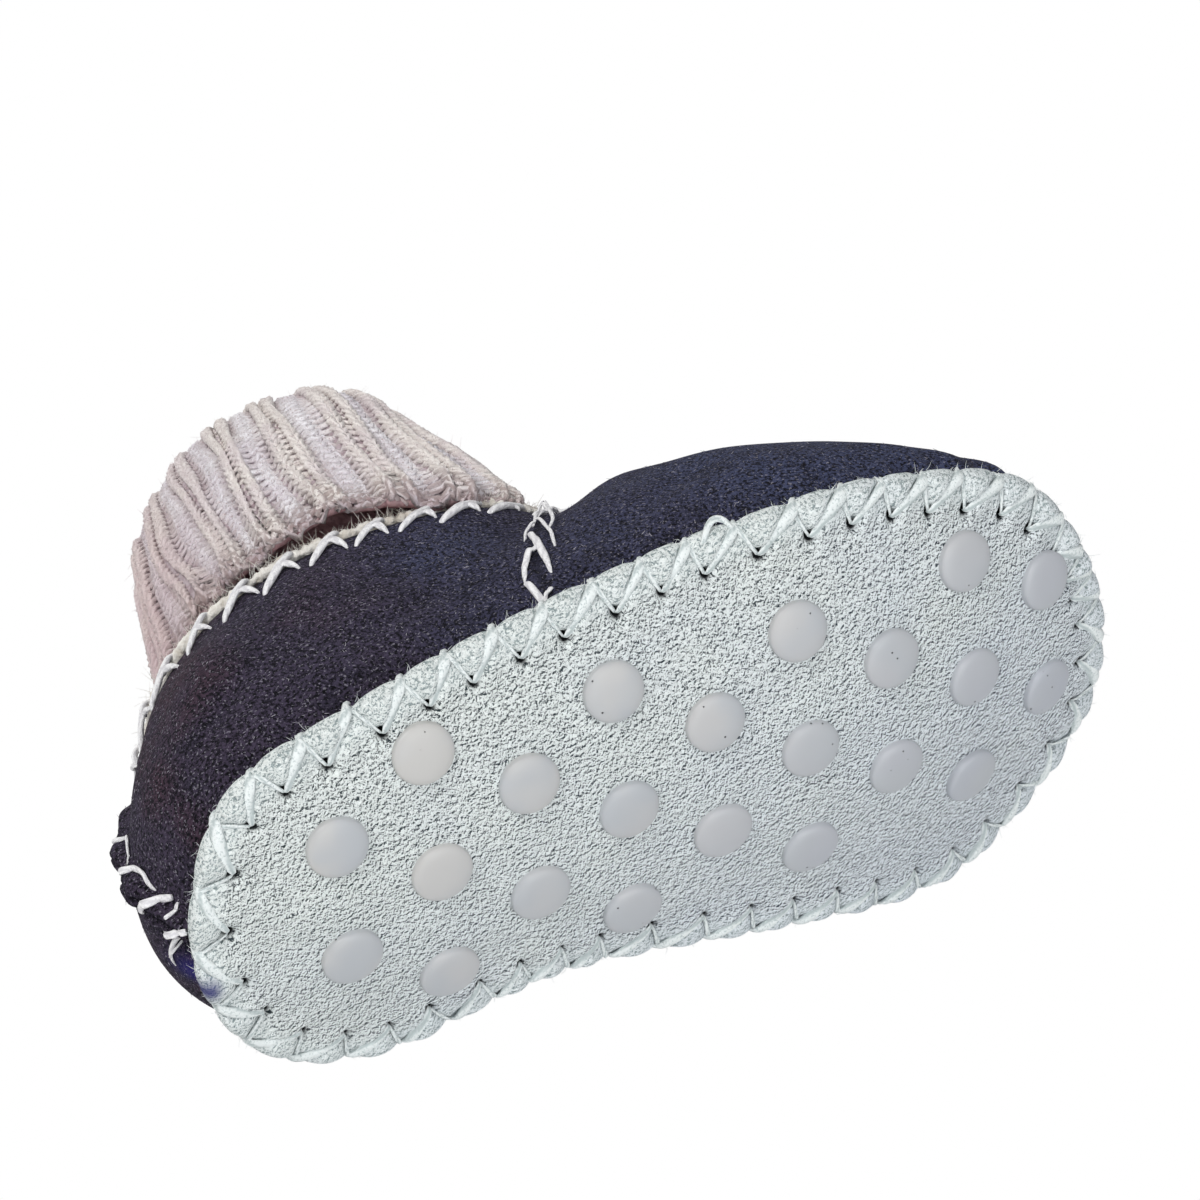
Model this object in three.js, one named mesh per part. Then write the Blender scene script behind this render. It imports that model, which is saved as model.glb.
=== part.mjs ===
// Sheepskin baby slipper for the right foot: a hollow suede upper with raised side and back seams, a crowned
// suede outsole with rows of grip dots, a fleece insole, and a ribbed knit cuff folded down over the collar.
// It lies on its inner side, so the outsole faces -Y, the toe points to +X and the outer side is up.
// The shapes are worked out on the last, in millimetres: x to the toe, y to the inner side, z up.
import * as THREE from 'three';

// The last and the sole.
const SOLE_LENGTH = 122;
const BALL_WIDTH = 62;
const HEEL_X = -65;
const HEEL_HEIGHT = 40;
const INSTEP_HEIGHT = 43;
const TOE_SPRING = 11;
const SPRING_START = 8;
const SPRING_END = 60;
const CROWN_RADIUS = 73.7;
const CROWN_HALF_WIDTH = 19;

// The collar, and the thickness of each layer.
const COLLAR_X = -27.5;
const COLLAR_LENGTH = 58;
const COLLAR_WIDTH = 42;
const COLLAR_SQUARENESS = 2.6;
const WALL = 2.8;
const OUTSOLE = 2;
const OUTSOLE_ROUNDING = 1.8;
const INSOLE = 4;
const INSOLE_INSET = 6.4;
const INSOLE_ROUNDING = 0.5;
const GAP = 0.3;
const EDGE_LIP = 1.5;

// The raised seams: a pair of leather edges that stand up, in a dip of the wall, most of all at the heel.
const SEAMS = [
  { station: 0, height: 2.2 },
  { station: 3, height: 1.2 },
  { station: 11, height: 1.2 },
];
const SEAM_DIP = 1.4;
const SEAM_DIP_REACH = 0.55;

// The grip dots: rows across the sole from heel to toe, by turns of two and of three.
const DOT_ROWS = 9;
const DOT_ROW_STEP = 11.7;
const DOT_PITCH = 15.5;
const DOT_RADIUS = 3.7;
const DOT_HEIGHT = 0.9;
const DOT_SIDES = 12;

// The knit cuff.
const RIBS = 20;
const RIB_DEPTH = 0.7;
const CUFF_SQUARENESS = 2.15;

// The stations of the inner edge and the row of the cuff that the slipper lies on, and how far they are
// pressed flat.
const BALL_STATION = 9;
const HEEL_STATION = 12;
const FULLEST_ROW = 9;
const PRESSED = 0.5;

// How finely the faces are divided, and the small step that slopes are taken over.
const SOLE_COLUMNS = 56;
const SOLE_SHARES = [0.3, 0.55, 0.75, 0.9, 1];
const WALL_ROWS = 14;
const NEARBY = 0.02;

// Stations round the last, from the heel along the outer side to the toe and back along the inner side.
// along, across: the sole's edge as shares of its length and of half its ball width.
// bearing: where the wall over that point meets the collar, in degrees from the toe.
// bulge, rise: how the wall leaves the sole, outwards and upwards.
// shoulder, drop: how the wall comes to the collar.
const STATIONS = [
  { along: 0.0, across: 0.016, bearing: 180, bulge: 9.2, rise: 14, shoulder: 3.5, drop: 9 },
  { along: 0.053, across: -0.532, bearing: 222, bulge: 6.5, rise: 15, shoulder: 3, drop: 9 },
  { along: 0.197, across: -0.735, bearing: 270, bulge: 4.5, rise: 15, shoulder: 3, drop: 8 },
  { along: 0.389, across: -0.877, bearing: 330, bulge: 3, rise: 15, shoulder: 6, drop: 4 },
  { along: 0.582, across: -0.955, bearing: 345, bulge: 3.5, rise: 17, shoulder: 15, drop: -1 },
  { along: 0.754, across: -0.916, bearing: 351, bulge: 3.5, rise: 14, shoulder: 23, drop: 2 },
  { along: 0.92, across: -0.626, bearing: 356, bulge: 3.4, rise: 11.5, shoulder: 30, drop: 5 },
  { along: 1.0, across: 0.032, bearing: 360, bulge: 5, rise: 13, shoulder: 35, drop: 6 },
  { along: 0.975, across: 0.661, bearing: 364, bulge: 3.4, rise: 11.5, shoulder: 30, drop: 5 },
  { along: 0.816, across: 1.097, bearing: 369, bulge: 3, rise: 14, shoulder: 23, drop: 2 },
  { along: 0.611, across: 0.948, bearing: 375, bulge: 3, rise: 17, shoulder: 15, drop: -1 },
  { along: 0.369, across: 0.755, bearing: 390, bulge: 3, rise: 15, shoulder: 6, drop: 4 },
  { along: 0.172, across: 0.858, bearing: 450, bulge: 3.5, rise: 15, shoulder: 3, drop: 8 },
  { along: 0.049, across: 0.587, bearing: 498, bulge: 6.5, rise: 15, shoulder: 3, drop: 9 },
];

// The cuff's section: up the lining layer's outer face into the fold, down inside the fold to the free hem,
// up the outer face, over the crest and down the inner face, with the foot tucked into the collar.
// height: at the sides; lift: what is added to it at the front.
// length, width: of the ring; forward, inward: its centre.
// rib: how strong the ribs are there; under: how much cloth lies outside that face.
const CUFF = [
  { height: 36, lift: 1.5, length: 53, width: 34.8, forward: 1.3, inward: 0, rib: 0, under: 3.2 },
  { height: 42, lift: 1.5, length: 53, width: 34.8, forward: 1.3, inward: 0, rib: 0, under: 3.2 },
  { height: 50, lift: 1.5, length: 46, width: 39.4, forward: 1.2, inward: -0.5, rib: 0.3, under: 3.6 },
  { height: 67.4, lift: 1, length: 37, width: 39.6, forward: 0.8, inward: -1.5, rib: 0.3, under: 2.8 },
  { height: 67.4, lift: 1, length: 38.6, width: 41, forward: 0.8, inward: -1.5, rib: 0.3, under: 2.2 },
  { height: 54, lift: 1.5, length: 47.4, width: 44, forward: 1, inward: -0.8, rib: 0.3, under: 2.2 },
  { height: 45, lift: 2, length: 49.4, width: 42.8, forward: 1.4, inward: 0, rib: 0.3, under: 2.2 },
  { height: 43.8, lift: 2, length: 52.6, width: 46.6, forward: 1.4, inward: 0, rib: 1, under: 0 },
  { height: 52, lift: 1.5, length: 51.4, width: 48.4, forward: 1, inward: -0.6, rib: 1, under: 0 },
  { height: 62.2, lift: 1, length: 45.6, width: 47.6, forward: 0.8, inward: -1.5, rib: 1, under: 0 },
  { height: 70.4, lift: 0.5, length: 41.6, width: 44, forward: 0.8, inward: -1.5, rib: 0.8, under: 0.4 },
  { height: 72.8, lift: 0.5, length: 38, width: 40, forward: 0.8, inward: -1.5, rib: 0.5, under: 1.6 },
  { height: 70, lift: 0.5, length: 33.8, width: 35.6, forward: 0.8, inward: -1.5, rib: 0.5, under: 4.8 },
  { height: 54, lift: 1.2, length: 40, width: 34.4, forward: 1, inward: -1, rib: 0.5, under: 5.8 },
  { height: 42, lift: 1.5, length: 48.4, width: 29.8, forward: 1.2, inward: 0, rib: 0.3, under: 5.2 },
  { height: 36, lift: 1.5, length: 48.4, width: 29.8, forward: 1.2, inward: 0, rib: 0, under: 5.2 },
];

// A column of the station table at any place k round the last, by a Catmull-Rom curve that closes on itself.
function ring(column, k) {
  const count = STATIONS.length;
  const first = Math.floor(k);
  const f = k - first;
  const value = (step) => STATIONS[(first + step + 2 * count) % count][column];
  const [a, b, c, d] = [value(-1), value(0), value(1), value(2)];
  return b + 0.5 * f * (c - a + f * (2 * a - 5 * b + 4 * c - d + f * (3 * (b - c) + d - a)));
}

// The bearing grows by a full turn round the last, so only its swing about an even turn is periodic.
const EVEN_TURN = 360 / STATIONS.length;
STATIONS.forEach((station, k) => (station.swing = station.bearing - 180 - k * EVEN_TURN));
const bearing = (k) => THREE.MathUtils.degToRad(180 + k * EVEN_TURN + ring('swing', k));

// The outsole's outer face: a crown across that straightens towards the edges, and the toe's spring.
function soleHeight(x, y) {
  const across = Math.abs(y);
  const crowned = Math.min(across, CROWN_HALF_WIDTH);
  const crown = (crowned * (across - crowned / 2)) / CROWN_RADIUS;
  const spring = Math.max(x - SPRING_START, 0) / (SPRING_END - SPRING_START);
  return crown + TOE_SPRING * spring * spring;
}

function soleEdge(k) {
  return new THREE.Vector3(HEEL_X + SOLE_LENGTH * ring('along', k), (BALL_WIDTH / 2) * ring('across', k), 0);
}

// The way out of the sole's edge, level.
function edgeOut(k) {
  const along = soleEdge(k + NEARBY).sub(soleEdge(k - NEARBY));
  return new THREE.Vector3(along.y, -along.x, 0).normalize();
}

// A point of the sole's plan: the edge is brought in by an inset, and the point is a share of the way to it.
function solePlan(k, inset, share) {
  const edge = soleEdge(k).addScaledVector(edgeOut(k), -inset);
  const centre = new THREE.Vector3(HEEL_X + SOLE_LENGTH / 2, 0, 0);
  return centre.lerp(edge, share);
}

// A level oval about the origin for the collar and the cuff: an ellipse at the back, with its corners filled
// out at the front, where the side seams meet it.
function oval(turn, halfLength, halfWidth, squareness) {
  const power = Math.cos(turn) > 0 ? 2 / squareness : 1;
  const squared = (value) => Math.sign(value) * Math.abs(value) ** power;
  return new THREE.Vector3(halfLength * squared(Math.cos(turn)), halfWidth * squared(Math.sin(turn)), 0);
}

const collar = (turn) => oval(turn, COLLAR_LENGTH / 2, COLLAR_WIDTH / 2, COLLAR_SQUARENESS);

// The upper's plain wall at station k, from the sole at t = 0 to the collar at t = 1.
function wallPoint(k, t) {
  const edge = soleEdge(k);
  const out = edgeOut(k);
  const turn = bearing(k);
  const up = (height) => new THREE.Vector3(0, 0, height);
  const foot = edge.clone().addScaledVector(out, -EDGE_LIP);
  foot.z = soleHeight(edge.x, edge.y) + OUTSOLE + GAP;
  const top = collar(turn);
  top.x += COLLAR_X;
  top.z = HEEL_HEIGHT + (INSTEP_HEIGHT - HEEL_HEIGHT) * 0.5 * (1 + Math.cos(turn));
  const along = collar(turn + NEARBY).sub(collar(turn - NEARBY));
  const away = new THREE.Vector3(along.y, -along.x, 0).normalize();
  away.add(edge.clone().sub(top).setZ(0).normalize()).normalize();
  const side = foot.clone().addScaledVector(out, ring('bulge', k)).add(up(ring('rise', k)));
  const shoulder = top.clone().addScaledVector(away, ring('shoulder', k)).add(up(-ring('drop', k)));
  return new THREE.CubicBezierCurve3(foot, side, shoulder, top).getPoint(t);
}

function wallNormal(k, t) {
  const low = Math.max(t - NEARBY, 0);
  const high = Math.min(t + NEARBY, 1);
  const round = wallPoint(k + NEARBY, t).sub(wallPoint(k - NEARBY, t));
  const upward = wallPoint(k, high).sub(wallPoint(k, low));
  return round.cross(upward).normalize();
}

// The dip of the wall beside each seam, which runs out towards the collar.
function seamDip(k, t) {
  const count = STATIONS.length;
  const away = SEAMS.map(({ station }) => Math.abs(k - station - count * Math.round((k - station) / count)));
  return SEAM_DIP * (1 - t * t) * Math.exp(-((Math.min(...away) / SEAM_DIP_REACH) ** 2));
}

// A seam's section, beside its station: two standing edges with a groove between them.
const SEAM_STEPS = [
  { beside: -0.14, share: 0 },
  { beside: -0.09, share: 1 },
  { beside: 0, share: 0.7 },
  { beside: 0.09, share: 1 },
  { beside: 0.14, share: 0 },
];

// A rib's section, from one rib to the next: a flat top and the valley beside it.
const RIB_CORNERS = [
  { share: 0, ribbed: 1 },
  { share: 0.38, ribbed: 1 },
  { share: 0.5, ribbed: 0 },
  { share: 0.88, ribbed: 0 },
];

// The knit cuff's ring at one row of its section, at a bearing from the toe.
function cuffPoint(row, turn, ribbed) {
  const rib = row.rib * RIB_DEPTH * ribbed;
  const point = oval(turn, row.length / 2 + rib, row.width / 2 + rib, CUFF_SQUARENESS);
  const height = row.height + row.lift * Math.cos(turn);
  return point.add(new THREE.Vector3(COLLAR_X + row.forward, row.inward, height));
}

// The floor rests against the sole's inner edge at the ball and the heel, and against the side of the cuff.
const edgeAt = (k) => soleEdge(k).setZ(soleHeight(soleEdge(k).x, soleEdge(k).y) + OUTSOLE / 2);
const cuffSide = cuffPoint(CUFF[FULLEST_ROW], (5 * Math.PI) / 2, 1);
const floor = new THREE.Plane().setFromCoplanarPoints(edgeAt(BALL_STATION), cuffSide, edgeAt(HEEL_STATION));
floor.constant -= PRESSED;

// Presses a point of a face that has so much material under it up to the floor.
function pressed(point, under) {
  const above = floor.distanceToPoint(point) - under;
  return above < 0 ? point.addScaledVector(floor.normal, -above) : point;
}

// A closed surface through rows of points. The rows run round the section; a row of one point is a pole.
function loft(rows, closed) {
  const starts = [];
  const points = [];
  rows.forEach((row) => {
    starts.push(points.length);
    points.push(...row);
  });
  const columns = Math.max(...rows.map((row) => row.length));
  const at = (i, j) => starts[i] + (j % rows[i].length);
  const index = [];
  const last = closed ? rows.length : rows.length - 1;
  for (let i = 0; i < last; i += 1) {
    const next = (i + 1) % rows.length;
    for (let j = 0; j < columns; j += 1) {
      const [a, b, c, d] = [at(i, j), at(i, j + 1), at(next, j + 1), at(next, j)];
      if (a !== b) index.push(a, b, c);
      if (c !== d) index.push(a, c, d);
    }
  }
  const geometry = new THREE.BufferGeometry().setFromPoints(points);
  geometry.setIndex(index);
  geometry.computeVertexNormals();
  return geometry;
}

const evenly = (count, end) => Array.from({ length: count }, (_, i) => (end * i) / count);
const soleColumns = evenly(SOLE_COLUMNS, STATIONS.length);

// A sheet that follows the sole, from one height over its outer face to another, brought in from its edge.
function soleSheet(inset, rounding, bottom, top) {
  const place = (k, share, height, edge) => {
    const plan = solePlan(k, edge, share);
    plan.z = soleHeight(plan.x, plan.y) + height;
    return pressed(plan, edge);
  };
  const ringAt = (share, height, edge) => soleColumns.map((k) => place(k, share, height, edge));
  const face = (height, edge) => SOLE_SHARES.map((share) => ringAt(share, height, edge));
  const lower = face(bottom, inset);
  const upper = face(top, inset + rounding).reverse();
  return loft([[place(0, 0, bottom, inset)], ...lower, ...upper, [place(0, 0, top, inset)]], false);
}

// The upper: outer face from the sole to the collar, then the inner face back down.
function upperShell() {
  const columns = [];
  soleColumns.forEach((k) => {
    const seam = SEAMS.find(({ station }) => station === k);
    const steps = seam ? SEAM_STEPS : [{ beside: 0, share: 0 }];
    const height = seam ? seam.height : 0;
    steps.forEach(({ beside, share }) => columns.push({ k: k + beside, raised: height * share }));
  });
  const heights = Array.from({ length: WALL_ROWS }, (_, i) => i / (WALL_ROWS - 1));
  const face = (t, depth, seams) =>
    columns.map(({ k, raised }) => {
      const relief = seams * raised - seamDip(k, t) - depth;
      return pressed(wallPoint(k, t).addScaledVector(wallNormal(k, t), relief), depth);
    });
  const outer = heights.map((t) => face(t, 0, 1));
  const inner = heights.map((t) => face(t, WALL, 0));
  return loft([...outer, ...inner.reverse()], true);
}

// The cuff: the closed section carried round, rib by rib.
function cuffRing() {
  const columns = [];
  const width = (2 * Math.PI) / RIBS;
  evenly(RIBS, 2 * Math.PI).forEach((start) => {
    RIB_CORNERS.forEach(({ share, ribbed }) => {
      columns.push({ turn: Math.PI + start + share * width, ribbed });
    });
  });
  const place = (row) => columns.map(({ turn, ribbed }) => pressed(cuffPoint(row, turn, ribbed), row.under));
  return loft(CUFF.map(place), true);
}

// One grip dot: a low dome on the outsole's face.
function gripDot() {
  const section = [
    { out: 0, up: 0 },
    { out: 1, up: 0 },
    { out: 1, up: 0.4 },
    { out: 0.85, up: 0.78 },
    { out: 0.5, up: 0.96 },
    { out: 0, up: 1 },
  ];
  const profile = section.map(({ out, up }) => new THREE.Vector2(out * DOT_RADIUS, up * DOT_HEIGHT));
  return new THREE.LatheGeometry(profile, DOT_SIDES);
}

const SUEDE = new THREE.MeshStandardMaterial({ color: '#2a2b3a', roughness: 0.95 });
const PALE_SUEDE = new THREE.MeshStandardMaterial({ color: '#b9c4c8', roughness: 0.95 });
const FLEECE = new THREE.MeshStandardMaterial({ color: '#e9e1d2', roughness: 1 });
const KNIT = new THREE.MeshStandardMaterial({ color: '#bdb0b4', roughness: 1 });
const RUBBER = new THREE.MeshStandardMaterial({ color: '#c3c6ca', roughness: 0.5 });

// The slipper on the last, before it is laid down.
const slipper = new THREE.Group();
function add(name, geometry, material) {
  const mesh = new THREE.Mesh(geometry, material);
  mesh.name = name;
  slipper.add(mesh);
  return mesh;
}
add('outsole', soleSheet(0, OUTSOLE_ROUNDING, 0, OUTSOLE), PALE_SUEDE);
add('insole', soleSheet(INSOLE_INSET, INSOLE_ROUNDING, OUTSOLE + GAP, OUTSOLE + GAP + INSOLE), FLEECE);
add('upper', upperShell(), SUEDE);
add('cuff', cuffRing(), KNIT);

let dots = 0;
for (let row = 0; row < DOT_ROWS; row += 1) {
  const count = row % 2 === 0 ? 2 : 3;
  for (let place = 0; place < count; place += 1) {
    const x = (row - (DOT_ROWS - 1) / 2) * DOT_ROW_STEP;
    const y = (place - (count - 1) / 2) * DOT_PITCH;
    const slopeX = (soleHeight(x + NEARBY, y) - soleHeight(x - NEARBY, y)) / (2 * NEARBY);
    const slopeY = (soleHeight(x, y + NEARBY) - soleHeight(x, y - NEARBY)) / (2 * NEARBY);
    const down = new THREE.Vector3(slopeX, slopeY, -1).normalize();
    dots += 1;
    const dot = add(`grip_dot_${String(dots).padStart(2, '0')}`, gripDot(), RUBBER);
    dot.position.set(x, y, soleHeight(x, y)).addScaledVector(down, GAP);
    dot.quaternion.setFromUnitVectors(new THREE.Vector3(0, 1, 0), down);
  }
}

// Laid on its inner side: the floor's normal becomes +Z, and the toe keeps pointing to +X.
const lengthwise = new THREE.Vector3(1, 0, 0).projectOnPlane(floor.normal).normalize();
const crosswise = floor.normal.clone().cross(lengthwise);
const turned = new THREE.Matrix4().makeBasis(lengthwise, crosswise, floor.normal).transpose();
slipper.quaternion.setFromRotationMatrix(turned);

const root = new THREE.Group();
root.add(slipper);
root.updateMatrixWorld(true);

// The middle of its box stands over the origin, with the floor at z = 0.
const box = new THREE.Box3().setFromObject(root, true);
slipper.position.set(-(box.min.x + box.max.x) / 2, -(box.min.y + box.max.y) / 2, -box.min.z);

export default root;
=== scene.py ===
import bpy
import numpy as np
from mathutils import Matrix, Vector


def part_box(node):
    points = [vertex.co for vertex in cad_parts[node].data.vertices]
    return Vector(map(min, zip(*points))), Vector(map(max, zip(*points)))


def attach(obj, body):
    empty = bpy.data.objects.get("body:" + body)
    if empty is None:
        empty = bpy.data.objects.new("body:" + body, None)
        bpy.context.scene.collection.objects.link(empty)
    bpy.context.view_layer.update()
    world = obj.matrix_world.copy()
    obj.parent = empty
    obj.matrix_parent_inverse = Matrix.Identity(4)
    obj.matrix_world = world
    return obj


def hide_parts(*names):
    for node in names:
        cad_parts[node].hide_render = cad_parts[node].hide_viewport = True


# A sheepskin baby slipper for the right foot, lying on its inner side. Shapes are worked out on the last,
# in millimetres (x to the toe, y to the inner side, z up from the sole), and laid down as the frame is.
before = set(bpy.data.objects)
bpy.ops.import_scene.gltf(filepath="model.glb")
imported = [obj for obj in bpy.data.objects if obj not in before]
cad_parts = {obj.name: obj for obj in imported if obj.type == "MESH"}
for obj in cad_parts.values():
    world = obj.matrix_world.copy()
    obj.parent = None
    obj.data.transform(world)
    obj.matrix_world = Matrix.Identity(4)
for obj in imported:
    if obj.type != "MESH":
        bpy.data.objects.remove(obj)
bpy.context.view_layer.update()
chance = np.random.default_rng(11)

# The last, the sole and the collar, as in the frame.
SOLE_LENGTH = 122
BALL_WIDTH = 62
HEEL_X = -65
SOLE_MIDDLE = HEEL_X + SOLE_LENGTH / 2
HEEL_HEIGHT = 40
INSTEP_HEIGHT = 43
TOE_SPRING = 11
SPRING_START = 8
SPRING_END = 60
CROWN_RADIUS = 73.7
CROWN_HALF_WIDTH = 19
COLLAR_X = -27.5
COLLAR_LENGTH = 58
COLLAR_WIDTH = 42
COLLAR_SQUARENESS = 2.6
WALL = 2.8
OUTSOLE = 2
INSOLE = 4
INSOLE_INSET = 6.4
GAP = 0.3
EDGE_LIP = 1.5
SEAM_DIP_REACH = 0.55
DOT_ROWS = 9
DOT_ROW_STEP = 11.7
DOT_PITCH = 15.5
DOT_RADIUS = 3.7
DOT_HEIGHT = 0.9
RIBS = 20
RIB_DEPTH = 0.7
CUFF_SQUARENESS = 2.15
TOE_STATION = 7
BALL_STATION = 9
HEEL_STATION = 12
FULLEST_ROW = 9
PRESSED = 0.5
FRAME_COLUMNS = 56
# A small step for slopes, in stations, radians or shares of a height.
STEP = 0.02

# Stations round the last, from the heel along the outer side to the toe and back along the inner side.
STATION_COLUMNS = ("along", "across", "bearing", "bulge", "rise", "shoulder", "drop")
STATION_ROWS = [
    (0.0, 0.016, 180, 9.2, 14, 3.5, 9),
    (0.053, -0.532, 222, 6.5, 15, 3, 9),
    (0.197, -0.735, 270, 4.5, 15, 3, 8),
    (0.389, -0.877, 330, 3, 15, 6, 4),
    (0.582, -0.955, 345, 3.5, 17, 15, -1),
    (0.754, -0.916, 351, 3.5, 14, 23, 2),
    (0.92, -0.626, 356, 3.4, 11.5, 30, 5),
    (1.0, 0.032, 360, 5, 13, 35, 6),
    (0.975, 0.661, 364, 3.4, 11.5, 30, 5),
    (0.816, 1.097, 369, 3, 14, 23, 2),
    (0.611, 0.948, 375, 3, 17, 15, -1),
    (0.369, 0.755, 390, 3, 15, 6, 4),
    (0.172, 0.858, 450, 3.5, 15, 3, 8),
    (0.049, 0.587, 498, 6.5, 15, 3, 9),
]
STATION = dict(zip(STATION_COLUMNS, np.array(STATION_ROWS).T))
STATION_COUNT = len(STATION_ROWS)
FINE_STEPS = 7001
EVEN_TURN = 360 / STATION_COUNT
SWING = STATION["bearing"] - 180 - np.arange(STATION_COUNT) * EVEN_TURN

# The cuff's section, a closed loop through the lining layer, the fold, the free hem and the crest.
CUFF_COLUMNS = ("height", "lift", "length", "width", "forward", "inward", "rib", "under")
CUFF_ROWS = np.array([
    (36, 1.5, 53, 34.8, 1.3, 0, 0, 3.2),
    (42, 1.5, 53, 34.8, 1.3, 0, 0, 3.2),
    (50, 1.5, 46, 39.4, 1.2, -0.5, 0.3, 3.6),
    (67.4, 1, 37, 39.6, 0.8, -1.5, 0.3, 2.8),
    (67.4, 1, 38.6, 41, 0.8, -1.5, 0.3, 2.2),
    (54, 1.5, 47.4, 44, 1, -0.8, 0.3, 2.2),
    (45, 2, 49.4, 42.8, 1.4, 0, 0.3, 2.2),
    (43.8, 2, 52.6, 46.6, 1.4, 0, 1, 0),
    (52, 1.5, 51.4, 48.4, 1, -0.6, 1, 0),
    (62.2, 1, 45.6, 47.6, 0.8, -1.5, 1, 0),
    (70.4, 0.5, 41.6, 44, 0.8, -1.5, 0.8, 0.4),
    (72.8, 0.5, 38, 40, 0.8, -1.5, 0.5, 1.6),
    (70, 0.5, 33.8, 35.6, 0.8, -1.5, 0.5, 4.8),
    (54, 1.2, 40, 34.4, 1, -1, 0.5, 5.8),
    (42, 1.5, 48.4, 29.8, 1.2, 0, 0.3, 5.2),
    (36, 1.5, 48.4, 29.8, 1.2, 0, 0, 5.2),
], float)
HEM_ROW = 7
RIB_COLUMN = CUFF_COLUMNS.index("rib")
UNDER_COLUMN = CUFF_COLUMNS.index("under")

# The sole's edge stitching: each stitch is two threads from one needle hole, leaning apart to the edge.
# The holes are in millimetres round the edge, from the heel along the outer side to the toe and back.
HOLES = np.array([
    1.9, 10.6, 18.2, 25.4, 31.4, 38.4, 44.7, 50.4, 56.6, 62.2, 68.9, 74.9,
    80.6, 87.6, 94.5, 100.5, 106.5, 112.0, 117.8, 124.5, 131.0, 137.7, 143.1, 146.7,
    151.6, 158.6, 165.8, 174.0, 181.2, 188.3, 194.7, 202.5, 209.3, 215.3, 221.4, 227.5,
    234.1, 241.1, 247.8, 252.3, 256.8, 261.7, 268.3, 274.5, 281.8, 289.4, 298.3, 305.1,
])
SOLE_STITCHES = len(HOLES)
HOLE_INSET = 4.4
SEWN_BAND = 8.0
LEAN_AHEAD = 0.74
LEAN_BACK = 0.26
LOBE_MIDDLE = (LEAN_AHEAD - LEAN_BACK) / 2

# The knit: two knit and two purl columns to a rib. The knit columns stand out as two ropes, with the purl
# ones low between them. Middle, half width, height, and the grooves before and after, as shares of a rib.
RIB_WALES = 4
WALES = RIB_WALES * RIBS
WALE_PLACES = [0, 0.31, 0.62, 0.81, 1]
RIB_HUMPS = [
    (0.155, 0.155, 1.0, 0.05, 0.45),
    (0.465, 0.155, 1.0, 0.45, 0.05),
    (0.81, 0.19, 0.3, 0.05, 0.05),
]
RIB_START = -0.45
RIB_SWEEP = 0.09
RIB_TWIST = 0.06
HEM_TWIST = 0.05
HEM_FLARE = 1.0
BACK_TUCK = 1.5
SLACK = 0.5
# The ribs' waves: size in radians, how many go round the cuff, and how they slant from row to row.
RIB_WAVES = [(0.022, 3, 1.1), (0.016, 7, -1.7), (0.01, 17, 2.6)]
# How far the rows within the fold are drawn in, and how much of the tuck at the back they follow.
FOLD_CLEAR = [0, 0, 0, -0.4, -1.2, -1.8]
FOLD_TUCK = [0, 0, 0, 0.4, 0.8, 1.2]
PURL_DEPTH = 0.8
COURSE = 1.2
YARN_RADIUS = 0.42
LOOP_DEPTH = 0.26
LOOP_REACH = 0.27
LOOP_HEIGHT = 1.2
LOOP_STEPS = 12
YARN_SIDES = 5
KNIT_FROM = 6.1
KNIT_SHARE = 0.8
KNIT_BANDS = 4
# How far the hem hangs below its plain line, by bearing in degrees.
HEM_BEARING = [180, 195, 208, 222, 240, 252, 264, 276, 288, 300, 315, 335, 360, 500, 520, 540]
HEM_HANGS = [-2.5, -2.4, -1.8, -0.6, 0.4, 0.8, 0.4, 2.6, 5.2, 5.0, 3.2, 1.4, 0.5, 0, -1.4, -2.5]

# The camera's place on the last, and its right and down directions there.
CAMERA_PLACE = (-150.5, -273.3, -343.2)
CAMERA_RIGHT = (0.90618, 0.07451, -0.41628)
CAMERA_DOWN = (-0.28705, 0.83122, -0.4761)
CAMERA_LENS = 120
CAMERA_SENSOR = 36

# The lights: place in metres, size, power and colour. They look at one point.
LIT_POINT = (0, 0, 0.03)
WARM = (1, 0.99, 0.97)
COOL = (0.97, 0.985, 1)
LIGHTS = {
    "key_light": ((-0.53, -0.2, 0.86), 0.35, 4.9, WARM),
    "fill_light": ((0.05, -0.95, 0.42), 0.8, 5.0, COOL),
    "back_light": ((-0.15, 0.8, 0.3), 0.7, 2.4, WARM),
}
SURROUND = 0.3
FLOOR_SIZE = 6.0


def unit(vectors):
    """Vectors scaled to length one."""
    return vectors / np.maximum(np.linalg.norm(vectors, axis=-1, keepdims=True), 1e-9)


def stack(x, y, z):
    """Points from three arrays of coordinates, spread to one shape."""
    return np.stack(np.broadcast_arrays(x, y, z), axis=-1).astype(float)


def bell(distance, width):
    """One at no distance, falling to nothing over a few widths: the exponential of minus the square."""
    return np.exp(-((distance / width) ** 2))


def ease(value, start, end):
    """Goes from nought at start to one at end, level at both: a cubic step."""
    f = np.clip((value - start) / (end - start), 0, 1)
    return f * f * (3 - 2 * f)


def wrap(turns):
    """The part of a turn beyond the nearest whole one, from minus a half to a half."""
    return turns - np.round(turns)


def blend_four(a, b, c, d, f):
    """Catmull-Rom: the cubic from b to c at share f, with slopes from the neighbours a and d."""
    return b + 0.5 * f * (c - a + f * (2 * a - 5 * b + 4 * c - d + f * (3 * (b - c) + d - a)))


def ring(values, k):
    """Catmull-Rom curve through the stations' values, closed on itself, at places k."""
    first = np.floor(k).astype(int)
    near = [values[(first + step) % len(values)] for step in (-1, 0, 1, 2)]
    return blend_four(*near, k - first)


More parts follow.
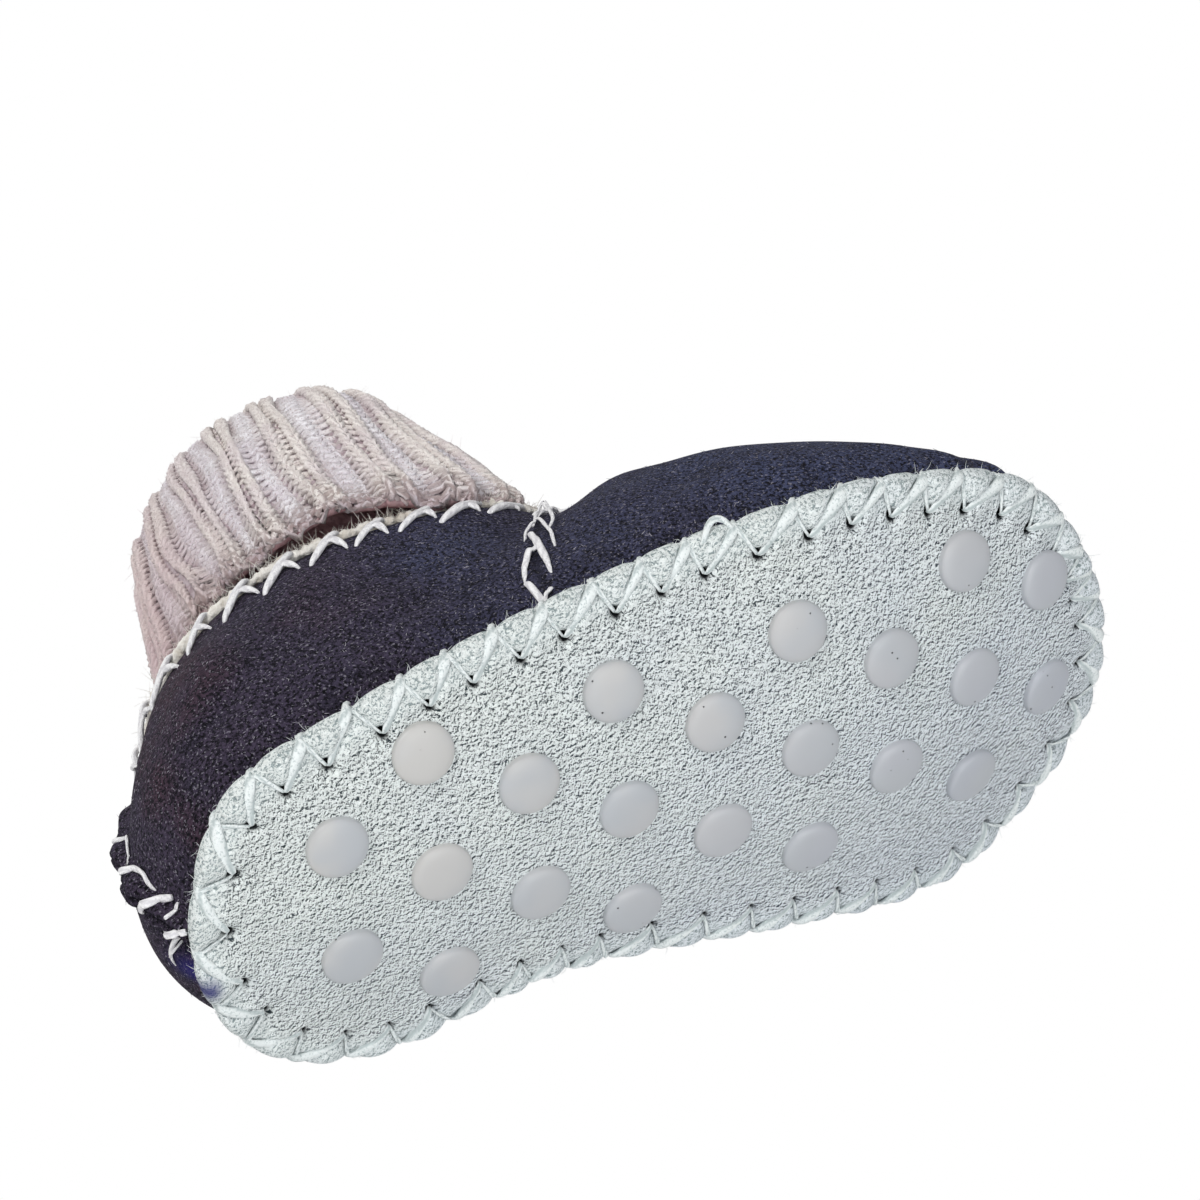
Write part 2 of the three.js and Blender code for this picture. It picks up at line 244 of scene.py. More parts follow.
def through(values, places):
    """Catmull-Rom curve through a table's rows, open at its ends, at fractional row numbers."""
    values = np.asarray(values, float)
    last = len(values) - 1
    first = np.clip(np.floor(places).astype(int), 0, last - 1)
    near = [values[np.clip(first + step, 0, last)] for step in (-1, 0, 1, 2)]
    share = places - first
    return blend_four(*near, share[..., None] if values.ndim > 1 else share)


def curve(table, steps):
    """The columns of a table, each along a smooth curve through its rows, in so many steps."""
    return through(table, np.linspace(0, len(table) - 1, steps)).T


def lengths(path):
    """How far along a path each of its points lies, by straight steps."""
    return np.concatenate([[0], np.cumsum(np.linalg.norm(np.diff(path, axis=0), axis=1))])


def unevenness(points, size, seed):
    """A soft unevenness from about -1 to 1: seven waves about one size long, in mixed directions, added."""
    draw = np.random.default_rng(seed)
    total = 0
    for _ in range(7):
        way = unit(draw.normal(size=3)) * draw.uniform(0.7, 1.5) * 2 * np.pi / size
        total = total + np.sin(points @ way + draw.uniform(0, 2 * np.pi))
    return total / 3.2


def sole_height(x, y):
    """The outsole's outer face: a crown across that straightens towards the edges, and the toe's spring."""
    across = np.abs(y)
    crowned = np.minimum(across, CROWN_HALF_WIDTH)
    spring = np.maximum(x - SPRING_START, 0) / (SPRING_END - SPRING_START)
    return crowned * (across - crowned / 2) / CROWN_RADIUS + TOE_SPRING * spring ** 2


def sole_edge(k):
    """The edge of the sole in plan, through the stations."""
    x = HEEL_X + SOLE_LENGTH * ring(STATION["along"], k)
    y = BALL_WIDTH / 2 * ring(STATION["across"], k)
    return np.stack([x, y], axis=-1)


def edge_out(k):
    """The level way out of the sole's edge: its direction turned a quarter."""
    way = sole_edge(k + STEP) - sole_edge(k - STEP)
    return unit(np.stack([way[..., 1], -way[..., 0]], axis=-1))


def on_sole(plan, up=0.0):
    """Points at places in plan, so far up from the sole's outer face."""
    x, y = plan[..., 0], plan[..., 1]
    return stack(x, y, sole_height(x, y) + up)


def oval(turn, half_length, half_width, squareness):
    """A level oval: an ellipse at the back, with its corners filled out at the front by a lower power."""
    power = np.where(np.cos(turn) > 0, 2 / squareness, 1)
    x = half_length * np.sign(np.cos(turn)) * np.abs(np.cos(turn)) ** power
    y = half_width * np.sign(np.sin(turn)) * np.abs(np.sin(turn)) ** power
    return np.stack([x, y], axis=-1)


def collar(turn):
    """The collar's oval about its own middle."""
    return oval(turn, COLLAR_LENGTH / 2, COLLAR_WIDTH / 2, COLLAR_SQUARENESS)


def bearing(k):
    """Where the wall over station k meets the collar, as an angle from the toe."""
    return np.radians(180 + k * EVEN_TURN + ring(SWING, k))


def wall(k, t):
    """The upper's plain wall: at station k a cubic Bezier from the sole at t = 0 to the collar at t = 1,
    leaving the sole by the station's bulge and rise and reaching the collar by its shoulder and drop."""
    k, t = np.broadcast_arrays(np.asarray(k, float), np.asarray(t, float))
    edge, out, turn = sole_edge(k), edge_out(k), bearing(k)
    top = collar(turn) + (COLLAR_X, 0)
    along = collar(turn + STEP) - collar(turn - STEP)
    away = unit(np.stack([along[..., 1], -along[..., 0]], axis=-1))
    away = unit(away + unit(edge - top))
    foot = edge - out * EDGE_LIP
    foot_z = sole_height(edge[..., 0], edge[..., 1]) + OUTSOLE + GAP
    top_z = HEEL_HEIGHT + (INSTEP_HEIGHT - HEEL_HEIGHT) * 0.5 * (1 + np.cos(turn))
    side = foot + out * ring(STATION["bulge"], k)[..., None]
    side_z = foot_z + ring(STATION["rise"], k)
    shoulder = top + away * ring(STATION["shoulder"], k)[..., None]
    shoulder_z = top_z - ring(STATION["drop"], k)
    shares = [(1 - t) ** 3, 3 * t * (1 - t) ** 2, 3 * t ** 2 * (1 - t), t ** 3]
    plan = sum(share[..., None] * point for share, point in zip(shares, (foot, side, shoulder, top)))
    height = sum(share * z for share, z in zip(shares, (foot_z, side_z, shoulder_z, top_z)))
    return np.concatenate([plan, height[..., None]], axis=-1)


def wall_normal(k, t):
    """The wall's outward normal: its slope round the last crossed with its slope upwards."""
    around = wall(k + STEP, t) - wall(k - STEP, t)
    upward = wall(k, np.minimum(t + STEP, 1)) - wall(k, np.maximum(t - STEP, 0))
    return unit(np.cross(around, upward))


def from_seam(k, station):
    """How far round the last a place is from a seam, either way, in stations."""
    return STATION_COUNT * wrap((k - station) / STATION_COUNT)


def cuff_values(q):
    """The cuff's section at fractional row q: smooth round the hem, up outside, over the crest and down."""
    return through(CUFF_ROWS[HEM_ROW - 2:], q - HEM_ROW + 2)


def cuff_point(values, turn, relief):
    """A ring of the cuff: the row's oval about its own middle, with its height lifted at the front."""
    height, lift, length, width, forward, inward = np.moveaxis(values, -1, 0)[:RIB_COLUMN]
    plan = oval(turn, length / 2 + relief, width / 2 + relief, CUFF_SQUARENESS)
    return stack(plan[..., 0] + COLLAR_X + forward, plan[..., 1] + inward, height + lift * np.cos(turn))


# The floor rests against the sole's inner edge at the ball and the heel, and against the side of the cuff.
def edge_at(k):
    """The middle of the outsole's edge at station k."""
    return on_sole(sole_edge(np.array(float(k))), OUTSOLE / 2)


ball, heel = edge_at(BALL_STATION), edge_at(HEEL_STATION)
cuff_side = cuff_point(CUFF_ROWS[FULLEST_ROW], np.array(2.5 * np.pi), RIB_DEPTH)
FLOOR_NORMAL = unit(np.cross(heel - cuff_side, ball - cuff_side))
FLOOR_LEVEL = ball @ FLOOR_NORMAL + PRESSED
LENGTHWISE = unit(np.array([1, 0, 0]) - FLOOR_NORMAL[0] * FLOOR_NORMAL)
LYING = np.stack([LENGTHWISE, np.cross(FLOOR_NORMAL, LENGTHWISE), FLOOR_NORMAL])


def pressed(points, under=0.0):
    """Points of a face with so much material under it, moved up to the floor where they would go through."""
    above = points @ FLOOR_NORMAL - FLOOR_LEVEL - under
    return points - np.minimum(above, 0)[..., None] * FLOOR_NORMAL


# The outsole's plain edge gives the place of the last in the frame.
frame_k = np.arange(FRAME_COLUMNS) * STATION_COUNT / FRAME_COLUMNS
frame_rim = pressed(on_sole(sole_edge(frame_k))) @ LYING.T
frame_middle = LYING @ (SOLE_MIDDLE, 0, 0)
frame_low = np.array(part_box("outsole")[0]) * 1000
SHIFT = np.array([frame_low[0] - frame_rim[:, 0].min(), frame_low[1] - frame_middle[1], -FLOOR_LEVEL])


def laid(points):
    """Points of the last, in millimetres, laid down in the frame, in metres."""
    return (points @ LYING.T + SHIFT) * 0.001


# Even steps round the sole's edge and the collar's line, and the holes on either side of a whole turn.
fine_k = np.linspace(0, STATION_COUNT, FINE_STEPS)
EDGE_LENGTHS = lengths(sole_edge(fine_k))
COLLAR_LENGTHS = lengths(wall(fine_k, np.ones_like(fine_k)))
SOLE_ROUND = EDGE_LENGTHS[-1]
SOLE_PITCH = SOLE_ROUND / SOLE_STITCHES
HOLE_NUMBERS = np.arange(-1, SOLE_STITCHES + 1)
HOLE_MARKS = np.concatenate([HOLES[-1:] - SOLE_ROUND, HOLES, HOLES[:1] + SOLE_ROUND])


def k_at(share, line=EDGE_LENGTHS):
    """The station at a share of the way round the sole's edge, or round another line, by its lengths."""
    turns = np.floor(share)
    return STATION_COUNT * turns + np.interp((share - turns) * line[-1], line, fine_k)


def share_at(k):
    """The share of the way round the sole's edge at a station."""
    turns = np.floor(k / STATION_COUNT)
    return turns + np.interp(k - turns * STATION_COUNT, fine_k, EDGE_LENGTHS) / SOLE_ROUND


def stitch_phase(share):
    """How many stitches lie before a share of the way round the sole's edge, in parts of a stitch too."""
    turns = np.floor(share)
    return np.interp((share - turns) * SOLE_ROUND, HOLE_MARKS, HOLE_NUMBERS) + turns * SOLE_STITCHES


def stitch_share(phase):
    """The share of the way round the sole's edge after so many stitches."""
    turns = np.floor(phase / SOLE_STITCHES)
    return turns + np.interp(phase - turns * SOLE_STITCHES, HOLE_NUMBERS, HOLE_MARKS / SOLE_ROUND)


def grid_faces(rows, columns, closed_rows=False):
    """Four-sided faces over a grid of points numbered row by row, closed round its columns and, if asked,
    from its last row to its first."""
    here = np.arange(rows * columns).reshape(rows, columns)
    above = np.roll(here, -1, axis=0)
    if not closed_rows:
        here, above = here[:-1], above[:-1]
    corners = [here, np.roll(here, -1, axis=1), np.roll(above, -1, axis=1), above]
    return np.stack(corners, axis=-1).reshape(-1, 4)


def pole_faces(first, columns, pole):
    """Three-sided faces from a closed row of points to one pole."""
    row = first + np.arange(columns)
    return np.stack([row, np.roll(row, -1), np.full(columns, pole)], axis=-1)


def closed_sheet(points, first_pole, last_pole):
    """The points and faces of a sheet in rings, from one pole out to its edge and back to the other."""
    rows, columns, _ = points.shape
    last = rows * columns
    faces = [grid_faces(rows, columns)[:, ::-1], pole_faces(0, columns, last)]
    faces += [pole_faces(last - columns, columns, last + 1)[:, ::-1]]
    return np.concatenate([points.reshape(-1, 3), [first_pole, last_pole]]), faces


def piece(name, points, faces, finish, stands_for=(), values=None):
    """One finished piece: a smooth mesh laid in the frame, with its finish, slot and named values."""
    points = laid(pressed(points.reshape(-1, 3)))
    corners = np.concatenate([part.ravel() for part in faces])
    sizes = np.concatenate([np.full(len(part), part.shape[1]) for part in faces])
    mesh = bpy.data.meshes.new(name)
    mesh.vertices.add(len(points))
    mesh.vertices.foreach_set("co", points.astype(np.float32).ravel())
    mesh.loops.add(len(corners))
    mesh.loops.foreach_set("vertex_index", corners.astype(np.int32))
    mesh.polygons.add(len(sizes))
    mesh.polygons.foreach_set("loop_start", (np.cumsum(sizes) - sizes).astype(np.int32))
    for key, numbers in (values or {}).items():
        layer = mesh.attributes.new(key, "FLOAT", "POINT")
        layer.data.foreach_set("value", np.broadcast_to(numbers, len(points)).astype(np.float32))
    mesh.update(calc_edges=True)
    mesh.validate()
    mesh.shade_smooth()
    mesh.materials.append(finish)
    made = bpy.data.objects.new(name, mesh)
    bpy.context.scene.collection.objects.link(made)
    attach(made, "root")
    if stands_for:
        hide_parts(*stands_for)
    return made


# The two plies of a thread wind once round it in so many radii.
PLY_TURN = 9


def tubes(paths, upward, radius, sides, closed=False, flat=1.0):
    """A section, round or flattened, carried along each of several paths of equally many points. Its axes
    are the path's direction crossed with the upward way, and at right angles to both. Returns points, faces
    and ply, a wave that winds round the thread as its twist does."""
    count, steps, _ = paths.shape
    if closed:
        ahead = np.roll(paths, -1, axis=1) - np.roll(paths, 1, axis=1)
    else:
        ahead = np.gradient(paths, axis=1)
    ahead = unit(ahead)
    side = unit(np.cross(ahead, upward))
    up = np.cross(side, ahead)
    angle = 2 * np.pi * np.arange(sides) / sides
    section = np.cos(angle)[:, None] * side[..., None, :] + flat * np.sin(angle)[:, None] * up[..., None, :]
    radius = np.broadcast_to(radius, (count, steps))
    points = paths[..., None, :] + radius[..., None, None] * section
    number = np.arange(count * steps * sides).reshape(count, steps, sides)
    here, after = (number, np.roll(number, -1, axis=1)) if closed else (number[:, :-1], number[:, 1:])
    quads = [here, after, np.roll(after, -1, axis=2), np.roll(here, -1, axis=2)]
    faces = [np.stack(quads, axis=-1).reshape(-1, 4)]
    if not closed:
        faces += [number[:, 0], number[:, -1, ::-1]]
    length = np.cumsum(np.linalg.norm(np.diff(paths, axis=1, prepend=paths[:, :1]), axis=-1), axis=1)
    ply = np.sin(2 * np.pi * length[..., None] / (PLY_TURN * radius[..., None]) + 2 * angle)
    return points.reshape(-1, 3), faces, ply.ravel()


def sewn(name, threads, finish):
    """Threads, each of points, faces and ply, joined into one piece."""
    counts = np.array([len(points) for points, _, _ in threads])
    starts = np.cumsum(counts) - counts
    faces = [part + start for (_, parts, _), start in zip(threads, starts) for part in parts]
    points = np.concatenate([thread[0] for thread in threads])
    ply = np.concatenate([thread[2] for thread in threads])
    piece(name, points, faces, finish, (), {"ply": ply})


# Finishes.
def tone(red, green, blue):
    """A screen colour of 0 to 255 as linear light, with full cover."""
    value = np.array([red, green, blue]) / 255
    linear = np.where(value <= 0.04045, value / 12.92, ((value + 0.055) / 1.055) ** 2.4)
    return (*linear, 1)


class Finish:
    """A material with a Principled shader, and short calls for the nodes that colour and roughen it."""

    def __init__(self, name, roughness, specular, sheen=0.0, sheen_tint=(255, 255, 255)):
        self.material = bpy.data.materials.new(name)
        self.material.use_nodes = True
        self.tree = self.material.node_tree
        self.shader = self.tree.nodes["Principled BSDF"]
        self.put(self.shader, {"Roughness": roughness, "Specular IOR Level": specular})
        self.put(self.shader, {"Sheen Weight": sheen, "Sheen Roughness": 0.5, "Sheen Tint": sheen_tint})
        self.place = self.node("TexCoord").outputs["Object"]

    def put(self, node, inputs):
        """Gives each input an output to follow, or a plain value; a colour is given as a screen colour."""
        for key, value in inputs.items():
            socket = node.inputs[key]
            if isinstance(value, bpy.types.NodeSocket):
                self.tree.links.new(value, socket)
            else:
                socket.default_value = tone(*value) if socket.type == "RGBA" else value

    def node(self, kind, inputs=None, **settings):
        """A new node with its settings and inputs."""
        node = self.tree.nodes.new(f"ShaderNode{kind}")
        for key, value in settings.items():
            setattr(node, key, value)
        self.put(node, inputs or {})
        return node

    def noise(self, size, detail=2.0, roughness=0.5, crumpled=0.0, moved=None):
        """Noise with grains so many millimetres across, crumpled or moved by so many metres if asked."""
        place = self.place
        if moved:
            place = self.node("Mapping", {"Location": moved, "Vector": place}).outputs["Vector"]
        grain = {"Scale": 1000 / size, "Detail": detail, "Roughness": roughness, "Distortion": crumpled}
        return self.node("TexNoise", {**grain, "Vector": place}).outputs["Fac"]

    def cells(self, size):
        """Distance to the nearest of points scattered so many millimetres apart, and that cell's colour."""
        node = self.node("TexVoronoi", {"Scale": 1000 / size, "Vector": self.place})
        return node.outputs["Distance"], node.outputs["Color"]

    def value(self, name):
        """A value that the piece carries on its points."""
        return self.node("Attribute", attribute_name=name).outputs["Fac"]

    def axis(self, letter):
        """One coordinate of the place, in metres."""
        return self.node("SeparateXYZ", {"Vector": self.place}).outputs[letter]

    def worked(self, operation, *values):
        """A working of numbers, such as a sum."""
        return self.node("Math", dict(enumerate(values)), operation=operation).outputs["Value"]

    def plus(self, one, other):
        """The sum of two values."""
        return self.worked("ADD", one, other)

    def less(self, one, other):
        """One value less another."""
        return self.worked("SUBTRACT", one, other)

    def times(self, one, other):
        """The product of two values."""
        return self.worked("MULTIPLY", one, other)

    def spread(self, value, low, high):
        """A value brought from the range low to high into nought to one, eased."""
        ends = {"From Min": low, "From Max": high, "Value": value}
        return self.node("MapRange", ends, interpolation_type="SMOOTHSTEP").outputs["Result"]

    def mixed(self, share, first, second):
        """Two colours mixed by a share."""
        node = self.node("Mix", {"Factor": share}, data_type="RGBA")
        one, other = (number for number, socket in enumerate(node.inputs) if socket.type == "RGBA")
        self.put(node, {one: first, other: second})
        return next(socket for socket in node.outputs if socket.type == "RGBA")

    def layered(self, colour, *layers):
        """A colour with others laid over it in turn, each by its own share."""
        for share, over in layers:
            colour = self.mixed(share, colour, over)
        return colour

    def bumped(self, height, depth):
        """A bump of so many millimetres from a height of nought to one."""
        return self.node("Bump", {"Distance": depth * 0.001, "Height": height}).outputs["Normal"]

    def done(self, colour, **bumps):
        """Sets the colour and any bumps, and returns the material."""
        self.put(self.shader, {"Base Color": colour, **bumps})
        return self.material


def pale_suede():
    """Pale suede with a pebbled nap and painted light: each small pebble painted lit on one side and shaded
    grey on the other, by the difference of a noise and the same noise moved, and a painted tint of the light
    from green-blue to lilac towards the toe and the floor, along the sole."""
    suede = Finish("pale_suede", 0.95, 0.15)
    nap = suede.noise(0.5, 3.0, 0.76, 0.4)
    # Painted shade: the noise less the same noise moved towards the light paints each pebble lit on one side
    # and shaded grey on the other.
    slope = suede.less(nap, suede.noise(0.5, 3.0, 0.76, 0.4, (0.0001, 0.0, -0.00017)))
    # Painted light: a cool tint that goes from green-blue at the heel and top to lilac towards the toe and
    # the floor.
    across = suede.less(suede.axis("X"), suede.times(suede.axis("Z"), 1.3))
    across = suede.plus(across, suede.times(suede.less(suede.noise(12), 0.5), 0.12))
    painted_light_tint = suede.spread(across, -0.11, 0.05)
    light = suede.mixed(painted_light_tint, (249, 255, 254), (242, 249, 255))
    dark = suede.mixed(painted_light_tint, (48, 60, 64), (48, 57, 74))
    # Painted shade made paler near the stitched edge: there the shaded side of each pebble is a lighter
    # grey.
    dark = suede.mixed(suede.value("paler_edge_shade"), dark, (150, 164, 166))
    colour = suede.layered(
        dark,
        (suede.spread(slope, -0.125, 0.034), light),
        # Painted shade: the needle holes are painted nearly black, as the shade in their pits.
        (suede.spread(suede.value("hole"), 0.12, 0.6), (16, 19, 22)),
        (suede.value("stain"), (34, 34, 120)),
    )
    return suede.done(colour, Normal=suede.bumped(nap, 0.6))


def dark_suede():
    """Navy-black suede: a close uneven nap with light specks, warm towards the heel and blue on the vamp."""
    suede = Finish("dark_suede", 0.9, 0.12, 0.12, (120, 120, 150))
    nap = suede.noise(0.44, 3.0, 0.75)
    soft = suede.noise(16)
    ahead = suede.plus(suede.axis("X"), suede.times(suede.less(suede.noise(30, 1.0), 0.5), 0.14))
    warm = suede.spread(suede.plus(suede.axis("X"), suede.times(soft, 0.05)), 0.02, -0.045)
    brown = suede.times(warm, suede.plus(0.35, suede.spread(soft, 0.4, 0.65)))
    cloud = suede.spread(suede.noise(6, 3.0, 0.6), 0.5, 0.3)
    speck = suede.spread(suede.noise(0.3, 1.0, 0.4), 0.62, 0.72)
    light = suede.layered(
        (69, 67, 89),
        (suede.spread(ahead, -0.035, 0.03), (74, 81, 112)),
        (suede.worked("MINIMUM", brown, 1.0), (76, 53, 63)),
        (suede.times(cloud, 0.5), (38, 38, 52)),
    )
    colour = suede.layered(
        (4, 4, 7),
        (suede.spread(nap, 0.4, 0.59), light),
        (suede.times(speck, 0.5), (168, 165, 178)),
        (suede.value("stain"), (34, 34, 130)),
        # A dark line along each seam, and painted shade on the band under the rim.
        (suede.value("seam_line_and_rim_shade"), (12, 12, 15)),
    )
    return suede.done(colour, Normal=suede.bumped(nap, 0.5))


def rubber():
    """Soft moulded rubber: smooth and satin, with a few pinholes painted dark as the shade in them, and
    painted shade that makes it darker and bluer towards the toe and the floor.
    """
    grip = Finish("grip_rubber", 0.42, 0.5)
    soft = grip.noise(9)
    across = grip.less(grip.axis("X"), grip.times(grip.axis("Z"), 1.3))
    distance, cell = grip.cells(1.6)
    pin = grip.times(grip.spread(distance, 0.09, 0.06), grip.spread(cell, 0.4, 0.47))
    colour = grip.layered(
        (193, 192, 190),
        # Painted shade: darker and bluer towards the toe and the floor.
        (grip.spread(across, -0.1, 0.05), (171, 176, 187)),
        (grip.spread(soft, 0.35, 0.7), (178, 182, 187)),
        # Painted shade: each pinhole is painted dark as the shade inside it.
        (pin, (70, 70, 72)),
    )
    return grip.done(colour, Normal=grip.bumped(grip.less(soft, pin), 0.2))


def wool_thread(name, light, dark):
    """Thick wool thread: pale plies with painted shade darkening the lines between them, and fine fibres."""
    thread = Finish(name, 0.9, 0.2, 0.2)
    fibre = thread.noise(0.3, 2.0, 0.6)
    ply = thread.value("ply")
    # Painted shade: the lines between the plies are painted darker.
    plies = (thread.spread(ply, -0.9, 0.1), light)
    fibres = (thread.spread(fibre, 0.5, 0.3), dark)
    colour = thread.layered(dark, plies, fibres)
    height = thread.plus(thread.times(ply, 0.5), fibre)
    return thread.done(colour, Normal=thread.bumped(height, 0.12))


def knit_yarn():
    """Wool yarn in cream and lilac: cream on the knit columns and lilac on the purl ones, rose towards the
    back, with painted shade in the grooves, under the hem and on the flanks of each ply, stronger by the
    hem."""
    yarn = Finish("knit_yarn", 0.92, 0.15, 0.25)
    fibre = yarn.noise(0.22, 2.0, 0.6)
    soft = yarn.noise(7)
    ply = yarn.value("ply")
    rose = yarn.spread(yarn.axis("X"), -0.034, -0.054)
    plain = yarn.mixed(yarn.spread(soft, 0.4, 0.62), (246, 240, 236), (237, 228, 229))
    purl = yarn.mixed(yarn.spread(soft, 0.38, 0.6), (249, 247, 252), (239, 234, 241))
    # Painted shade on the flanks of each ply, stronger near the hem.
    flank = yarn.times(yarn.spread(ply, 0.6, -0.4), yarn.plus(0.22, yarn.times(yarn.value("near"), 0.45)))
    colour = yarn.layered(
        plain,
        (yarn.value("purl"), purl),
        (yarn.times(rose, 0.85), (200, 164, 170)),
        # Painted shade in the grooves between the ropes and the purl bands, and on the purl bands by the
        # hem.
        (yarn.times(yarn.value("painted_groove_shade"), 0.45), (150, 126, 128)),
        # Painted shade under the hem, on its first courses.
        (yarn.times(yarn.value("hem"), 0.6), (190, 162, 168)),
        (flank, (140, 116, 112)),
        (yarn.spread(fibre, 0.46, 0.28), (182, 164, 166)),
    )
    height = yarn.plus(yarn.times(ply, 0.5), fibre)
    return yarn.done(colour, Normal=yarn.bumped(height, 0.14))


def knit_shade():
    """The inside of the knit, coloured as painted shade: lilac-grey between its yarns, and darker mauve-grey
    within the fold.
    """
    shade = Finish("knit_shade", 1.0, 0.05)
    soft = shade.noise(1.2, 2.0, 0.6)
    patch = shade.spread(soft, 0.35, 0.65)
    # Painted shade: the sheet under the yarns is painted as the shade between them, and darker as the shade
    # within the fold.
    shown = shade.mixed(patch, (172, 154, 160), (200, 188, 194))
    within = shade.mixed(patch, (148, 112, 116), (182, 146, 148))
    colour = shade.mixed(shade.value("deep"), shown, within)
    return shade.done(colour, Normal=shade.bumped(soft, 0.3))


def cream_fleece():
    """Cream wool pile: small curls with warm shade between them."""
    pile = Finish("cream_fleece", 1.0, 0.1, 0.3)
    curl = pile.noise(1.6, 3.0, 0.6)
    colour = pile.mixed(pile.spread(curl, 0.36, 0.6), (224, 217, 206), (253, 250, 244))
    return pile.done(colour, Normal=pile.bumped(curl, 1.0))


def nap_fibre():
    """Pale fibres caught in the dark nap, from grey to nearly white."""
    fibre = Finish("nap_fibre", 0.9, 0.1)
    shade = fibre.spread(fibre.noise(3, 1.0), 0.35, 0.65)
    return fibre.done(fibre.mixed(shade, (84, 82, 96), (196, 193, 204)))


PALE_SUEDE = pale_suede()
DARK_SUEDE = dark_suede()
RUBBER = rubber()
SOLE_THREAD = wool_thread("sole_thread", (236, 242, 242), (186, 197, 198))
WHITE_THREAD = wool_thread("white_thread", (252, 252, 254), (220, 219, 224))
KNIT_YARN = knit_yarn()
KNIT_SHADE = knit_shade()
FLEECE = cream_fleece()
NAP_FIBRE = nap_fibre()


# The sole. A blue dye mark lies on its edge, so many millimetres round it, and on the upper beside that.
STAIN_PLACE = 307.2
STAIN_STATION = 13.72


def stitch_relief(share, inset):
    """How far the sole's face stands out near its edge: a soft swelling between the threads of a stitch,
    less a groove under each thread and a pit at the needle hole. The second value marks the hole, which
    the suede's colour paints dark as the shade in the pit."""
    phase = stitch_phase(share)
    lean = np.clip(1 - inset / HOLE_INSET, 0, 1)
    ahead = wrap(phase - LEAN_AHEAD * lean) * SOLE_PITCH
    back = wrap(phase + LEAN_BACK * lean) * SOLE_PITCH
    from_hole = np.hypot(wrap(phase) * SOLE_PITCH, (inset - HOLE_INSET) * 0.8)
    grooves = np.maximum(0.7 * bell(ahead, 0.9), 0.5 * bell(back, 0.5))
    grooves = grooves * ease(inset, HOLE_INSET + 0.4, HOLE_INSET - 0.6)
    swelling = ease(inset, 7, 2.4) * (0.3 + 0.42 * np.cos(2 * np.pi * (phase - LOBE_MIDDLE)))
    return swelling - grooves - 1.3 * bell(from_hole, 0.75), bell(from_hole, 0.55)


def sole_plan(share, inset, reach):
    """The sole's plan: the edge moved in by an inset and drawn in where threads cross it, then a share of
    the way out from the middle."""
    k = k_at(share)
    crossing = wrap(stitch_phase(share) - LEAN_AHEAD) * SOLE_PITCH
    drawn = (0.4 * bell(crossing, 1.2) - 0.1) * ease(inset, 3.5, 0.5)
    edge = sole_edge(k) - edge_out(k) * (inset + drawn)[..., None]
    middle = np.array([SOLE_MIDDLE, 0])
    return middle + (edge - middle) * reach[..., None]


def make_sole():
    """The outsole: its face from the middle to the edge, half round the rim, and its inner face back in."""
    columns = 896
    middle_rows, edge_rows, rim_rows, inner_rows = 12, 32, 9, 3
    near_pole = 0.04
    rim = OUTSOLE / 2
    share = np.arange(columns)[None] / columns
    around = np.linspace(0, np.pi, rim_rows + 2)[1:-1]
    face_inset = np.append(np.full(middle_rows, SEWN_BAND), np.linspace(SEWN_BAND, rim, edge_rows))
    inner_inset = [rim, SEWN_BAND / 2, SEWN_BAND, SEWN_BAND, SEWN_BAND]
    inset = np.concatenate([face_inset, rim - rim * np.sin(around), inner_inset])[:, None]
    face_reach = np.linspace(near_pole, 1, middle_rows + 1)[:-1]
    whole_reach = np.ones(edge_rows + rim_rows + inner_rows)
    reach = np.concatenate([face_reach, whole_reach, [0.6, near_pole]])[:, None]
    face, inner = np.ones(middle_rows + edge_rows), np.ones(len(inner_inset))
    height = np.concatenate([0 * face, rim - rim * np.cos(around), OUTSOLE * inner])[:, None]
    shown = np.concatenate([face, np.clip(np.cos(around), 0, 1), 0 * inner])[:, None]
    by_edge = reach == 1
    relief, hole = stitch_relief(share, inset)
    points = on_sole(sole_plan(share, inset, reach), height - relief * by_edge * shown)
    points[..., 2] += 0.12 * unevenness(points, 9, 3) * shown
    from_stain = wrap(share - STAIN_PLACE / SOLE_ROUND) * SOLE_ROUND
    values = {
        # The needle holes are painted dark as the shade in their pits.
        "hole": hole * by_edge * (shown > 0.9),
        "stain": 0.9 * bell(from_stain, 1.6) * ease(inset, 2.8, 0.8) * by_edge,
        # Near the edge the painted shade of the pebbles is made paler.
        "paler_edge_shade": ease(inset, 4.6, 2.2) * by_edge * np.ones_like(share),
    }
    values = {name: np.append(value, [0, 0]) for name, value in values.items()}
    points, faces = closed_sheet(points, (SOLE_MIDDLE, 0, 0), (SOLE_MIDDLE, 0, OUTSOLE))
    piece("sole_suede", points, faces, PALE_SUEDE, ["outsole"], values)


